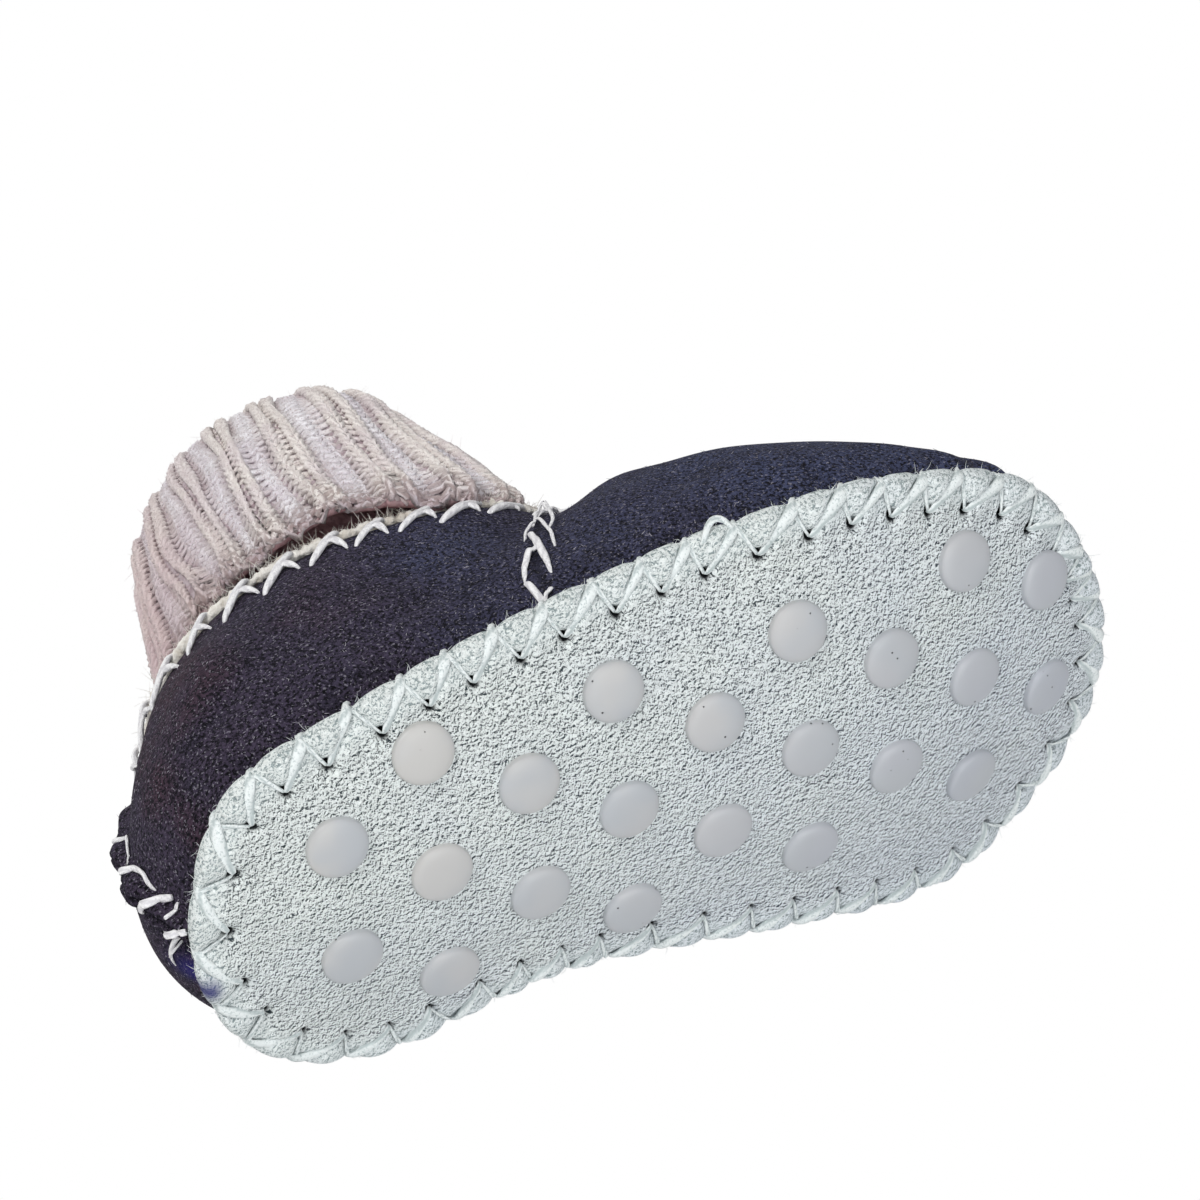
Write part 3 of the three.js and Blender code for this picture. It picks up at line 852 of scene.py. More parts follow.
def make_dots():
    """The grip dots: each a dome of rings on the sole's face, its section a rounded step."""
    sides, rings, step = 40, 9, 0.1
    roundness = 0.7
    angle = 2 * np.pi * np.arange(sides)[:, None] / sides
    rise = np.linspace(0, np.pi / 2, rings + 1)[:-1]
    out = np.append(1.0, np.cos(rise) ** roundness)[:, None, None] * DOT_RADIUS
    up = np.append(-0.8, np.sin(rise) ** roundness)[:, None, None] * DOT_HEIGHT
    faces = [grid_faces(rings + 1, sides), pole_faces(rings * sides, sides, (rings + 1) * sides)]
    in_row = [2 + row % 2 for row in range(DOT_ROWS)]
    places = [(row, place - (count - 1) / 2) for row, count in enumerate(in_row) for place in range(count)]
    for number, (row, place) in enumerate(places, 1):
        x = (row - (DOT_ROWS - 1) / 2) * DOT_ROW_STEP
        y = place * DOT_PITCH
        slope_x = (sole_height(x + step, y) - sole_height(x - step, y)) / (2 * step)
        slope_y = (sole_height(x, y + step) - sole_height(x, y - step)) / (2 * step)
        down = unit(np.array([slope_x, slope_y, -1]))
        one = unit(np.cross(down, [0, 1, 0]))
        flat = np.cos(angle) * one + np.sin(angle) * np.cross(down, one)
        middle = on_sole(np.array([x, y]))
        dome = (middle + out * flat + (up + GAP) * down).reshape(-1, 3)
        points = np.concatenate([dome, [middle + down * (DOT_HEIGHT + GAP)]])
        piece(f"grip_cap_{number:02d}", points, faces, RUBBER, [f"grip_dot_{number:02d}"])


# The upper.
SEAM_BESIDE = [-0.085, -0.065, -0.02, 0, 0.02, 0.065, 0.085]
SEAM_SHARE = [0, 0.85, 1, 0.45, 1, 0.85, 0]
# Station, dip, height in millimetres up to a share of the wall, that share, and the height above it.
SEAMS = [
    (0.08, 0.4, 1.9, 0.6, 0.5),
    (3.08, 1.3, 0.5, 1.0, 0.5),
    (10.92, 1.3, 0.5, 1.0, 0.5),
]
HEEL_NOTCHES = (0.465, 0.325, 0.19)
# The suede's corners at the top of both side seams: station, how far they stand up and half their width.
RIM_CORNERS = [
    (2.95, 1.8, 0.06),
    (3.1, -0.8, 0.07),
    (3.3, 0.9, 0.05),
]
RIM_DROP = 1.6
RIM_SAG = 1.2
RIM_BENT_IN = 0.6
CORD_OVER_RIM = 0.8
CORD_INWARD = 0.5
CORD_RADIUS = 0.72

# Creases of the upper: where each starts and ends (station and share of height), its width and its depth. A
# station and a whole height are about so many millimetres, and a height's square counts so many times.
STATION_SPAN = 21
WALL_SPAN = 50
HEIGHT_WEIGHT = 6
CREASES = [
    (3.35, 0.10, 4.3, 0.34, 2.2, 0.5),
    (2.0, 0.18, 2.75, 0.30, 2.6, 0.5),
    (1.0, 0.12, 1.6, 0.36, 2.4, 0.5),
    (4.9, 0.06, 5.3, 0.22, 1.8, 0.4),
    (10.2, 0.1, 10.7, 0.3, 2.2, 0.4),
    (5.8, 0.5, 8.2, 0.5, 4.0, 0.5),
    (5.4, 0.68, 8.6, 0.68, 4.0, 0.4),
]
# Fuller places: station and share of height, how far they stand out, and half widths along and up.
FULLNESS = [
    (13.55, 0.25, 0.9, 0.45, 0.25),
    (5.2, 0.6, 0.8, 0.9, 0.3),
]


def both_sides(k, station, width):
    """A bell about a station of the outer side, and about its mirror image on the inner side."""
    return bell(from_seam(k, station), width) + bell(from_seam(k, STATION_COUNT - station), width)


def wall_up(k):
    """The way in which the wall reaches the collar."""
    near = 0.96
    return unit(wall(k, np.ones_like(k)) - wall(k, np.full_like(k, near)))


def wall_rate(k):
    """How many millimetres of wall its whole height would be, at the pace that it has by the collar."""
    near = 0.97
    return np.linalg.norm(wall(k, np.ones_like(k)) - wall(k, np.full_like(k, near)), axis=-1) / (1 - near)


def from_collar(k, t):
    """About how many millimetres a place lies under the collar's line."""
    return (1 - t) * wall_rate(k)


def below_collar(k, drop):
    """The share of the wall's height that lies so many millimetres under the collar's line."""
    return 1 - drop / wall_rate(k)


def rim_drop(k):
    """How far the suede's rim lies under the collar's line: more at the sides, before their seams."""
    return RIM_DROP + RIM_SAG * both_sides(k, 2.3, 0.4)


def seam_dip(k, t):
    """How far the wall sinks towards its seams, less with height."""
    near = [dip * bell(from_seam(k, station), SEAM_DIP_REACH) for station, dip, *_ in SEAMS]
    return (1 - t * t) * sum(near)


def upper_relief(k, t, points):
    """How far the suede stands out of the plain wall: seams that stand up in a dip, a pinched rim at the
    collar, fuller places, puckers over the sole's stitches, tight gathers at the toe, placed creases and a
    soft unevenness. The second value marks a dark line along the seams, and the band under the rim that
    is painted dark as the shade of the rim bent inward."""
    relief = 0.35 * unevenness(points, 17, 5) * np.clip(t * 6, 0, 1)
    seam_line_and_rim_dark = np.zeros_like(relief)
    lumps = 1 + 0.2 * unevenness(points, 4, 8)
    for station, _, height, top, above in SEAMS:
        beside = from_seam(k, station)
        tall = above + (height - above) * ease(t, top + 0.02, top - 0.02)
        if station < 1:
            for notch in HEEL_NOTCHES:
                tall = tall * (1 - 0.6 * bell(t - notch, 0.022))
        relief += tall * lumps * np.interp(beside, SEAM_BESIDE, SEAM_SHARE)
        seam_line_and_rim_dark = np.maximum(seam_line_and_rim_dark, 0.6 * bell(beside, 0.03) * ease(t, 1.0, 0.8))
    down = from_collar(k, t) - rim_drop(k)
    bent = RIM_BENT_IN * (1 - 0.6 * bell(from_seam(k, 0), 1.0))
    relief -= bent * ease(down, 2.4, 0.2) + seam_dip(k, t)
    # Painted shade: the band just under the rim, bent inward, is painted dark as its shade.
    seam_line_and_rim_dark = np.maximum(seam_line_and_rim_dark, 0.75 * ease(down, 2.6, 1.7))
    for station, level, stands, along, up in FULLNESS:
        relief += stands * bell(from_seam(k, station), along) * bell(t - level, up)
    phase = stitch_phase(share_at(k))
    low = ease(t, 0.16, 0.0)
    relief += low * (0.35 * np.cos(2 * np.pi * (phase - LOBE_MIDDLE)) - 0.1)
    toe = bell(k - TOE_STATION, 1.5)
    relief += 0.5 * toe * ease(t, 0.3, 0.02) * np.cos(2 * np.pi * (phase - LOBE_MIDDLE))
    for k0, t0, k1, t1, width, depth in CREASES:
        run_k, run_t = k1 - k0, t1 - t0
        share = (k - k0) * run_k + HEIGHT_WEIGHT * (t - t0) * run_t
        share = np.clip(share / (run_k ** 2 + HEIGHT_WEIGHT * run_t ** 2), 0, 1)
        away = np.hypot((k - k0 - share * run_k) * STATION_SPAN, (t - t0 - share * run_t) * WALL_SPAN)
        relief -= depth * bell(away, width) * np.sin(np.pi * np.clip(share, 0.02, 0.98))
    return relief, seam_line_and_rim_dark


def make_upper():
    """The upper: its outer face from under the sole's edge to the collar, half round the collar's rim, and
    its inner face back down."""
    columns = 680
    outer, rim, inner = 72, 7, 8
    k = k_at(np.arange(columns) / columns)
    around = np.linspace(0, np.pi, rim + 2)[1:-1]
    outer_level = np.append([-0.03, -0.015], np.linspace(0, 1, outer - 2))
    level = np.concatenate([outer_level, np.ones(rim), np.linspace(1, 0, inner)])
    depth = np.concatenate([np.zeros(outer), WALL / 2 * (1 - np.cos(around)), np.full(inner, WALL)])
    proud = np.concatenate([np.zeros(outer), 0.7 * np.sin(around), np.zeros(inner)])[:, None]
    shown = np.concatenate([np.ones(outer), np.cos(around / 2) ** 2, np.zeros(inner)])[:, None]
    kk, tt = np.meshgrid(k, level)
    tt = tt * below_collar(k, rim_drop(k))
    base = wall(kk, tt)
    height = np.clip(tt, 0, 1)
    relief, seam_line_and_rim_dark = upper_relief(kk, height, base)
    out = shown * relief - (1 - shown) * seam_dip(kk, tt) - depth[:, None]
    corner = sum(stands * both_sides(k, place, width) for place, stands, width in RIM_CORNERS)
    raised = proud + corner * ease(from_collar(kk, height) - rim_drop(kk), 2.5, 0)
    points = base + wall_normal(kk, height) * out[..., None] + wall_up(kk) * raised[..., None]
    points = pressed(points.reshape(-1, 3), np.repeat(depth, columns))
    stain = 0.8 * bell(from_seam(kk, STAIN_STATION), 0.1) * bell(tt, 0.09) * shown
    values = {"seam_line_and_rim_shade": (seam_line_and_rim_dark * shown).ravel(), "stain": stain.ravel()}
    faces = [grid_faces(len(level), columns, closed_rows=True)]
    piece("upper_suede", points, faces, DARK_SUEDE, ["upper"], values)


def make_lining():
    """The fleece lining: the wall's inner face moved in and curled, from the insole to under the cuff."""
    columns, rows = 220, 26
    foot = 0.07
    k = k_at(np.arange(columns) / columns)
    top = 0.55 + 0.33 * bell(from_seam(k, TOE_STATION), 3.2)
    kk, share = np.meshgrid(k, np.linspace(0, 1, rows))
    tt = foot + (top - foot) * share
    base = wall(kk, tt)
    curl = 0.45 * unevenness(base, 4.5, 21) + 0.3 * unevenness(base, 2.4, 22)
    inward = WALL + 0.8 + 2.8 * ease(share, 0.18, 0.0) + seam_dip(kk, tt) + curl
    points = base - wall_normal(kk, tt) * inward[..., None]
    points = pressed(points.reshape(-1, 3), WALL + 0.4)
    piece("fleece_lining", points, [grid_faces(rows, columns)[:, ::-1]], FLEECE)


def make_insole():
    """The fleece footbed: a sheet over the outsole with a rounded edge and a curled upper face."""
    columns = 180
    under_rows, rim_rows, upper_rows = 3, 9, 14
    level = OUTSOLE + GAP
    k = k_at(np.arange(columns) / columns)[None]
    around = np.linspace(0, np.pi, rim_rows)
    rounded = np.concatenate([np.zeros(under_rows), np.sin(around), np.zeros(upper_rows)])
    rise = np.concatenate([np.zeros(under_rows), (1 - np.cos(around)) / 2, np.ones(upper_rows)])[:, None]
    reach = np.concatenate([[0.05, 0.5, 0.9], np.ones(rim_rows), np.linspace(0.98, 0.05, upper_rows)])
    edge = sole_edge(k) - edge_out(k) * (INSOLE_INSET + 1 - rounded)[:, None, None]
    middle = np.array([SOLE_MIDDLE, 0])
    points = on_sole(middle + (edge - middle) * reach[:, None, None], level + INSOLE * rise)
    curl = 0.4 * unevenness(points, 4.2, 31) + 0.3 * unevenness(points, 2.2, 32)
    points[..., 2] += (rise > 0.501) * (curl - 0.3)
    points, faces = closed_sheet(points, (SOLE_MIDDLE, 0, level), (SOLE_MIDDLE, 0, level + INSOLE))
    pad = piece("fleece_insole", points, faces, FLEECE, ["insole"])


# The knit cuff.
def rib_wave(turn):
    """The height of the ribs' section at a bearing: humps shaped as a cosine, each on its grooves' level."""
    phase = ((turn - np.pi) * RIBS / (2 * np.pi) - RIB_START) % 1
    wave = np.zeros_like(phase)
    for middle, half, height, before, after in RIB_HUMPS:
        away = (phase - middle) / half
        foot = np.where(away < 0, before, after)
        hump = foot + (height - foot) * np.abs(np.cos(np.pi / 2 * np.clip(away, -1, 1))) ** 0.65
        wave = np.where(np.abs(away) <= 1, hump, wave)
    return wave


def rib_sway(q, turn):
    """How far the ribs wander round the cuff, in radians: a sweep forward by the hem at the outer back, a
    twist backward elsewhere and more by the hem, and waves that die out at the crest."""
    turns = turn / (2 * np.pi)
    swept = bell(wrap(turns - 0.6), 0.06)
    sweep = RIB_SWEEP * ease(q, 8.6, HEM_ROW) * swept
    hem_twist = HEM_TWIST * ease(q, 7.9, HEM_ROW) * bell(wrap(turns - 0.85), 0.12)
    twist = RIB_TWIST * ease(q, 10.5, HEM_ROW) + hem_twist
    waves = sum(size * np.sin(count * turn + slant * q) for size, count, slant in RIB_WAVES)
    return sweep - twist * (1 - swept) + waves * ease(q, 11, 9.5)


def at_back(turn):
    """One at the very back of the cuff, falling to nought at its sides."""
    return np.maximum(-np.cos(turn), 0) ** 2


def cuff_surface(q, turn):
    """The cuff's face at fractional row q and a bearing: ropes stand out and purl bands sink as much as the
    row says, the hem swells and hangs unevenly, and all is pressed to the floor by what lies under it."""
    values = cuff_values(q)
    hem = ease(q, 8.1, 7.2)
    wave = rib_wave(turn - rib_sway(q, turn))
    ribbed = values[..., RIB_COLUMN]
    relief = ribbed * ((RIB_DEPTH + PURL_DEPTH) * wave - PURL_DEPTH) * (1 + 0.6 * hem)
    relief = relief + HEM_FLARE * ease(q, 7.9, 7.1) - 0.4 * bell(q - 8.2, 0.5)
    points = cuff_point(values, turn, relief)
    hang = np.interp(np.degrees(turn - np.pi) % 360 + 180, HEM_BEARING, HEM_HANGS)
    points[..., 2] -= hem * (0.7 * wave - 0.2) + hang * ease(q, 9.2, HEM_ROW)
    points[..., 0] += BACK_TUCK * ease(q, 9.8, 7.2) * at_back(turn)
    slack = SLACK * unevenness(points, 24, 61) * ribbed
    points[..., :2] += slack[..., None] * unit(points[..., :2] - (COLLAR_X, 0))
    return pressed(points, values[..., UNDER_COLUMN])


def cuff_normal(q, turn):
    """The cuff's outward normal: its slope round the ring crossed with its slope along the section."""
    turn_step, row_step = 0.01, 0.03
    around = cuff_surface(q, turn + turn_step) - cuff_surface(q, turn - turn_step)
    along = cuff_surface(q + row_step, turn) - cuff_surface(q - row_step, turn)
    return unit(np.cross(around, along))


def make_backing():
    """The knit's inside, which shows between the yarns: the whole folded section a little under its face."""
    columns, rows = 400, 46
    turn = np.pi + 2 * np.pi * np.arange(columns) / columns
    q = np.linspace(KNIT_FROM, len(CUFF_ROWS) - 1, rows)
    qq, tt = np.meshgrid(q, turn, indexing="ij")
    sunk = (YARN_RADIUS + LOOP_DEPTH + 0.15) * ease(q, 14.2, 13.6) * ease(q, 6.3, 6.7)
    sunk = sunk - 0.6 * ease(q, 6.45, 6.15)
    shown = cuff_surface(qq, tt) - cuff_normal(qq, tt) * sunk[:, None, None]
    fold = CUFF_ROWS[:HEM_ROW - 1][:, None, :] * np.ones((1, columns, 1))
    clear = np.array(FOLD_CLEAR)[:, None] + 0.6 * (rib_wave(turn) - 0.8)
    hidden = cuff_point(fold, turn[None], clear)
    hidden[..., 0] += np.array(FOLD_TUCK)[:, None] * (BACK_TUCK + 0.8) * at_back(turn)
    hidden = pressed(hidden, fold[..., UNDER_COLUMN])
    points = np.concatenate([hidden, shown])
    deep = np.append(np.ones(len(fold)), ease(q, KNIT_FROM + 0.7, KNIT_FROM + 0.2))
    faces = [grid_faces(len(points), columns, closed_rows=True)]
    piece("knit_backing", points, faces, KNIT_SHADE, ["cuff"], {"deep": np.repeat(deep, columns)})


fine_q = np.linspace(KNIT_FROM, len(CUFF_ROWS) - 1, 400)
CUFF_LENGTHS = lengths(cuff_surface(fine_q, np.full(len(fine_q), 1.5 * np.pi)))


def knit_courses(first, last):
    """Courses of yarn round the cuff, each one closed path of loops. In a loop the yarn goes on by a turn,
    sways to either side twice, and rises and falls once; its depth swings so that legs stand out on a knit
    column and arcs on a purl one."""
    tau = 2 * np.pi * np.arange(LOOP_STEPS) / LOOP_STEPS - np.pi
    wale, tau = np.meshgrid(np.arange(WALES), tau, indexing="ij")
    wale, tau = wale.ravel(), tau.ravel()
    before, knit, after = (np.where((wale + step) % RIB_WALES < 2, 1.0, -1.0) for step in (-1, 0, 1))
    side = np.where(tau < 0, before, after)
    face = knit + (side - knit) * 0.5 * ease(np.abs(tau), 1.9, np.pi)
    columns = wale + tau / (2 * np.pi) + LOOP_REACH * np.sin(2 * tau) + 0.5
    rib = np.floor(columns / RIB_WALES)
    phase = rib + np.interp(columns - RIB_WALES * rib, range(RIB_WALES + 1), WALE_PLACES)
    depth = -LOOP_DEPTH * np.cos(2 * tau) * face
    reach = (np.arange(first, last)[:, None] + 0.5 + LOOP_HEIGHT * np.cos(tau)) * COURSE
    q = np.interp(reach, CUFF_LENGTHS, fine_q)
    turn = np.broadcast_to(np.pi + 2 * np.pi * (phase + RIB_START) / RIBS, q.shape)
    turn = turn + rib_sway(q, turn)
    swell = ease(reach, 7.0, 3.0)
    wobble = chance.normal(0, 0.04, q.shape) * (1 + 2 * swell)
    base = cuff_surface(q, turn)
    normal = cuff_normal(q, turn)
    paths = base + normal * (depth + wobble - YARN_RADIUS - LOOP_DEPTH)[..., None]
    radius = YARN_RADIUS * (1 + 0.1 * unevenness(base, 5, 41) + 0.12 * swell)
    points, faces, ply = tubes(paths, normal, radius, YARN_SIDES, closed=True)
    purl = np.broadcast_to(0.5 - 0.5 * face, q.shape)
    # Painted shade: how deep a place lies in the grooves between the ribs, and on the purl columns by the
    # hem.
    painted_groove_shade = ease(rib_wave(turn - rib_sway(q, turn)), 0.24, 0.06)
    values = {
        "purl": purl,
        # The hem's first courses, painted darker as the shade under the hem.
        "hem": ease(reach, 2.8, 0.8),
        "painted_groove_shade": np.maximum(painted_groove_shade, 0.8 * purl * swell),
        # How near the hem a course is, which makes the painted shade on the ply flanks stronger.
        "near": ease(reach, 9.0, 3.0),
    }
    values = {name: np.repeat(value.ravel(), YARN_SIDES) for name, value in values.items()}
    return points, faces, {"ply": ply, **values}


def make_knit():
    """The knit, in bands of courses from the hem up the outer face, over the crest and down inside."""
    count = int(CUFF_LENGTHS[-1] * KNIT_SHARE / COURSE)
    bands = np.linspace(0, count, KNIT_BANDS + 1).astype(int)
    for number, (first, last) in enumerate(zip(bands[:-1], bands[1:]), 1):
        points, faces, values = knit_courses(first, last)
        piece(f"knit_band_{number}", points, faces, KNIT_YARN, (), values)


# Stitches: a thread's path as fractions of a pitch along the edge, the inset from it and the height over the
# sole's outer face, all in millimetres but the first, and the thread's radius.
THREAD_SIDES = 8
AHEAD_THREAD = [
    (0.0, 4.5, 0.9, 0.15),
    (0.04, 4.2, 0.3, 0.34),
    (0.2, 3.2, 0.06, 0.62),
    (0.42, 1.9, -0.02, 0.78),
    (0.62, 0.8, 0.12, 0.76),
    (0.72, 0.42, 0.65, 0.64),
    (0.77, 0.5, 1.5, 0.55),
    (0.82, 1.1, 2.5, 0.4),
    (0.86, 1.7, 3.2, 0.2),
]
BACK_THREAD = [
    (0.0, 4.45, 0.9, 0.1),
    (-0.03, 4.0, 0.34, 0.18),
    (-0.12, 2.6, 0.22, 0.26),
    (-0.2, 1.3, 0.22, 0.29),
    (-0.26, 0.55, 0.5, 0.29),
    (-0.27, 0.5, 1.2, 0.25),
    (-0.26, 0.9, 2.2, 0.2),
    (-0.25, 1.5, 2.8, 0.12),
]
# One loop has slipped and stands off the edge.
LOOSE_STITCH = 12
LOOSE_THREAD = [
    (0.0, 1.6, 0.1, 0.2),
    (0.1, 0.3, -0.1, 0.34),
    (0.25, -0.7, 0.5, 0.36),
    (0.42, -1.0, 1.0, 0.36),
    (0.58, -0.5, 0.9, 0.34),
    (0.66, 0.5, 0.3, 0.24),
]


def edge_thread(table, steps, hole):
    """One thread at each of some needle holes of the sole: the table's curve set there, a little uneven."""
    along, inset, height, radius = curve(table, steps)
    count = len(hole)
    sway = chance.normal(0, 0.09, (count, 1))
    drift = chance.normal(0, 0.16, (count, 1))
    k = k_at(stitch_share(hole[:, None] + along * (1 + sway)))
    out = edge_out(k)
    inward = inset + drift * ease(np.abs(along), 0.0, 0.3)
    points = on_sole(sole_edge(k) - out * inward[..., None], height)
    lean = np.clip(1 - inset / 1.5, 0, 1)[:, None]
    upward = unit(np.concatenate([out * lean, -np.ones_like(points[..., :1])], axis=-1))
    thickness = radius * chance.uniform(0.82, 1.2, (count, 1))
    return tubes(points, upward, thickness, THREAD_SIDES, flat=0.44)


def make_sole_stitches():
    """The sole's edge stitching, in one piece of thread tubes."""
    holes = np.arange(SOLE_STITCHES)
    threads = [edge_thread(AHEAD_THREAD, 22, holes), edge_thread(BACK_THREAD, 16, holes)]
    threads += [edge_thread(LOOSE_THREAD, 16, np.array([LOOSE_STITCH]))]
    sewn("sole_stitches", threads, SOLE_THREAD)


def on_wall(k, t, stand):
    """Points on the upper's finished face, standing off it by so much."""
    base = wall(k, t)
    relief, _ = upper_relief(k, t, base)
    return base + wall_normal(k, t) * (relief + stand)[..., None]


# Collar stitches: along the collar in pitches, down from its rim in millimetres, stand and radius.
COLLAR_STITCHES = 26
COLLAR_LONG = [
    (0.14, -1.6, -1.0, 0.3),
    (0.12, -1.0, 0.6, 0.45),
    (0.06, 0.2, 1.2, 0.56),
    (-0.06, 2.0, 0.85, 0.58),
    (-0.2, 4.0, 0.5, 0.54),
    (-0.3, 5.6, 0.2, 0.38),
    (-0.34, 6.1, -0.6, 0.15),
]
COLLAR_SHORT = [
    (-0.06, 1.8, 0.5, 0.24),
    (0.06, 2.3, 0.75, 0.46),
    (0.2, 3.3, 0.6, 0.46),
    (0.34, 4.3, 0.3, 0.26),
    (0.42, 4.7, -0.5, 0.12),
]


def collar_thread(table, steps):
    """One thread of every collar stitch: the table's curve set round the collar, a little uneven."""
    along, down, stand, radius = curve(table, steps)
    number = np.arange(COLLAR_STITCHES)[:, None] + chance.normal(0, 0.06, (COLLAR_STITCHES, 1))
    size = chance.uniform(0.85, 1.15, (COLLAR_STITCHES, 1))
    k = k_at((number + along * size) / COLLAR_STITCHES, COLLAR_LENGTHS)
    ahead = 1 - 0.4 * np.maximum(bell(from_seam(k, TOE_STATION), 2.6), both_sides(k, 2.6, 0.5))
    t = np.minimum(below_collar(k, rim_drop(k) + down * size * ahead), 1)
    above = np.maximum(-down - rim_drop(k), 0)
    points = on_wall(k, t, stand * ahead) + wall_up(k) * above[..., None]
    return tubes(points, wall_normal(k, t), radius * size, THREAD_SIDES, flat=0.7)


def collar_edge(k):
    """The middle of the collar's wool edge, a little over and behind the rim, and the wall's normal."""
    level = below_collar(k, rim_drop(k) - CORD_OVER_RIM)
    normal = wall_normal(k, level)
    return wall(k, level) - normal * CORD_INWARD, normal


def make_collar():
    """The collar's cream wool edge, a soft cord along the rim, and the white stitches over it."""
    steps, sides = 640, 10
    k = k_at(np.arange(steps)[None] / steps, COLLAR_LENGTHS)
    edge, _ = collar_edge(k)
    radius = CORD_RADIUS * (1 + 0.2 * unevenness(edge, 3.0, 51) + 0.24 * unevenness(edge, 1.2, 52))
    points, faces, _ = tubes(edge, wall_up(k), radius, sides, closed=True)
    piece("collar_fleece", points, faces, FLEECE)
    sewn("collar_stitches", [collar_thread(COLLAR_LONG, 16), collar_thread(COLLAR_SHORT, 14)], WHITE_THREAD)


# Seam stitches: threads on the wall as station, share of height, stand and radius.
SIDE_THREADS = [
    [(3.0, 0.15, -0.4, 0.3), (3.006, 0.125, 0.3, 0.44), (3.02, 0.08, 0.4, 0.48), (3.031, 0.035, 0.3, 0.44),
     (3.036, 0.0, 0.0, 0.3)],
    [(3.105, 0.066, -0.3, 0.2), (3.095, 0.055, 0.3, 0.3), (3.07, 0.05, 0.3, 0.3), (3.045, 0.03, 0.1, 0.2)],
    [(3.04, 0.4, -0.3, 0.24), (3.06, 0.37, 0.35, 0.4), (3.098, 0.308, 0.5, 0.48), (3.13, 0.213, 0.45, 0.48),
     (3.138, 0.16, 0.35, 0.36), (3.136, 0.115, -0.2, 0.14)],
    [(3.115, 0.25, 0.5, 0.3), (3.06, 0.246, 0.6, 0.42), (3.024, 0.2, 0.45, 0.4), (3.004, 0.165, 0.2, 0.3),
     (3.0, 0.14, -0.3, 0.16)],
    [(3.01, 0.37, -0.3, 0.14), (3.02, 0.4, 0.5, 0.22), (3.06, 0.43, 1.1, 0.24), (3.12, 0.42, 1.3, 0.24),
     (3.19, 0.33, 0.9, 0.24), (3.2, 0.28, 0.4, 0.22), (3.2, 0.25, -0.2, 0.12)],
    [(3.04, 0.47, 0.2, 0.16), (3.07, 0.52, 1.2, 0.2), (3.14, 0.52, 1.7, 0.22), (3.2, 0.45, 1.6, 0.24),
     (3.22, 0.39, 1.1, 0.24), (3.18, 0.37, 0.6, 0.2)],
    [(3.05, 0.52, 0.3, 0.14), (3.09, 0.57, 1.5, 0.16), (3.15, 0.56, 1.7, 0.16), (3.19, 0.5, 1.2, 0.14)],
    [(3.0, 0.6, -0.3, 0.2), (3.03, 0.61, 0.3, 0.34), (3.1, 0.625, 0.35, 0.36), (3.16, 0.64, -0.3, 0.2)],
    [(3.0, 0.69, -0.3, 0.2), (3.03, 0.7, 0.3, 0.34), (3.1, 0.71, 0.35, 0.36), (3.16, 0.725, -0.3, 0.2)],
    [(3.0, 0.78, -0.3, 0.2), (3.03, 0.785, 0.3, 0.34), (3.1, 0.795, 0.35, 0.36), (3.16, 0.81, -0.3, 0.2)],
    [(3.01, 0.86, -0.3, 0.2), (3.04, 0.865, 0.3, 0.34), (3.1, 0.875, 0.35, 0.36), (3.15, 0.885, -0.3, 0.2)],
]
HEEL_THREADS = [
    [(-0.03, 0.46, 0.1, 0.2), (0.08, 0.455, 0.3, 0.28), (0.19, 0.415, 0.3, 0.34), (0.2, 0.385, 0.3, 0.3),
     (0.17, 0.35, 0.3, 0.24), (0.15, 0.32, 0.1, 0.16)],
    [(-0.01, 0.33, 0.1, 0.3), (0.08, 0.325, 0.35, 0.4), (0.17, 0.285, 0.35, 0.42), (0.212, 0.23, 0.35, 0.34),
     (0.19, 0.2, 0.3, 0.36), (0.165, 0.165, 0.0, 0.2)],
    [(-0.02, 0.205, 0.1, 0.4), (0.06, 0.19, 0.4, 0.5), (0.13, 0.155, 0.4, 0.52), (0.19, 0.115, 0.4, 0.5),
     (0.225, 0.09, 0.1, 0.36)],
    [(0.215, 0.07, 0.0, 0.16), (0.195, 0.068, 0.3, 0.26), (0.15, 0.072, 0.3, 0.26),
     (0.125, 0.08, 0.0, 0.14)],
    [(-0.05, 0.12, 0.1, 0.36), (0.0, 0.085, 0.4, 0.44), (0.06, 0.05, 0.4, 0.46), (0.126, 0.01, 0.2, 0.4)],
    [(0.0, 0.06, 0.2, 0.3), (-0.09, 0.085, 0.4, 0.34), (-0.19, 0.1, 0.4, 0.28), (-0.28, 0.1, 0.1, 0.12)],
    [(-0.06, 0.06, 0.3, 0.12), (-0.12, 0.075, 0.9, 0.16), (-0.2, 0.1, 0.6, 0.12)],
]


def wall_thread(table, mirrored=False):
    """One thread on the upper: a curve through the table's places, or through their mirror images."""
    k, t, stand, radius = curve(table, 6 * len(table))[:, None]
    k = (STATION_COUNT - k if mirrored else k) % STATION_COUNT
    t = np.clip(t, 0, 1)
    return tubes(on_wall(k, t, stand), wall_normal(k, t), radius, THREAD_SIDES, flat=0.6)


def make_seam_stitches():
    """The yarn that joins the upper at its sides and up its heel."""
    threads = [wall_thread(table, inner) for inner in (False, True) for table in SIDE_THREADS]
    threads += [wall_thread(table) for table in HEEL_THREADS]
    sewn("seam_stitches", threads, WHITE_THREAD)


# Loose fibres.
HAIR_SIDES = 3
HAIR_TAPER = [1.0, 0.9, 0.7, 0.3]


def scattered(count):
    """So many ways, in all directions."""
    return chance.normal(size=(count, 3))


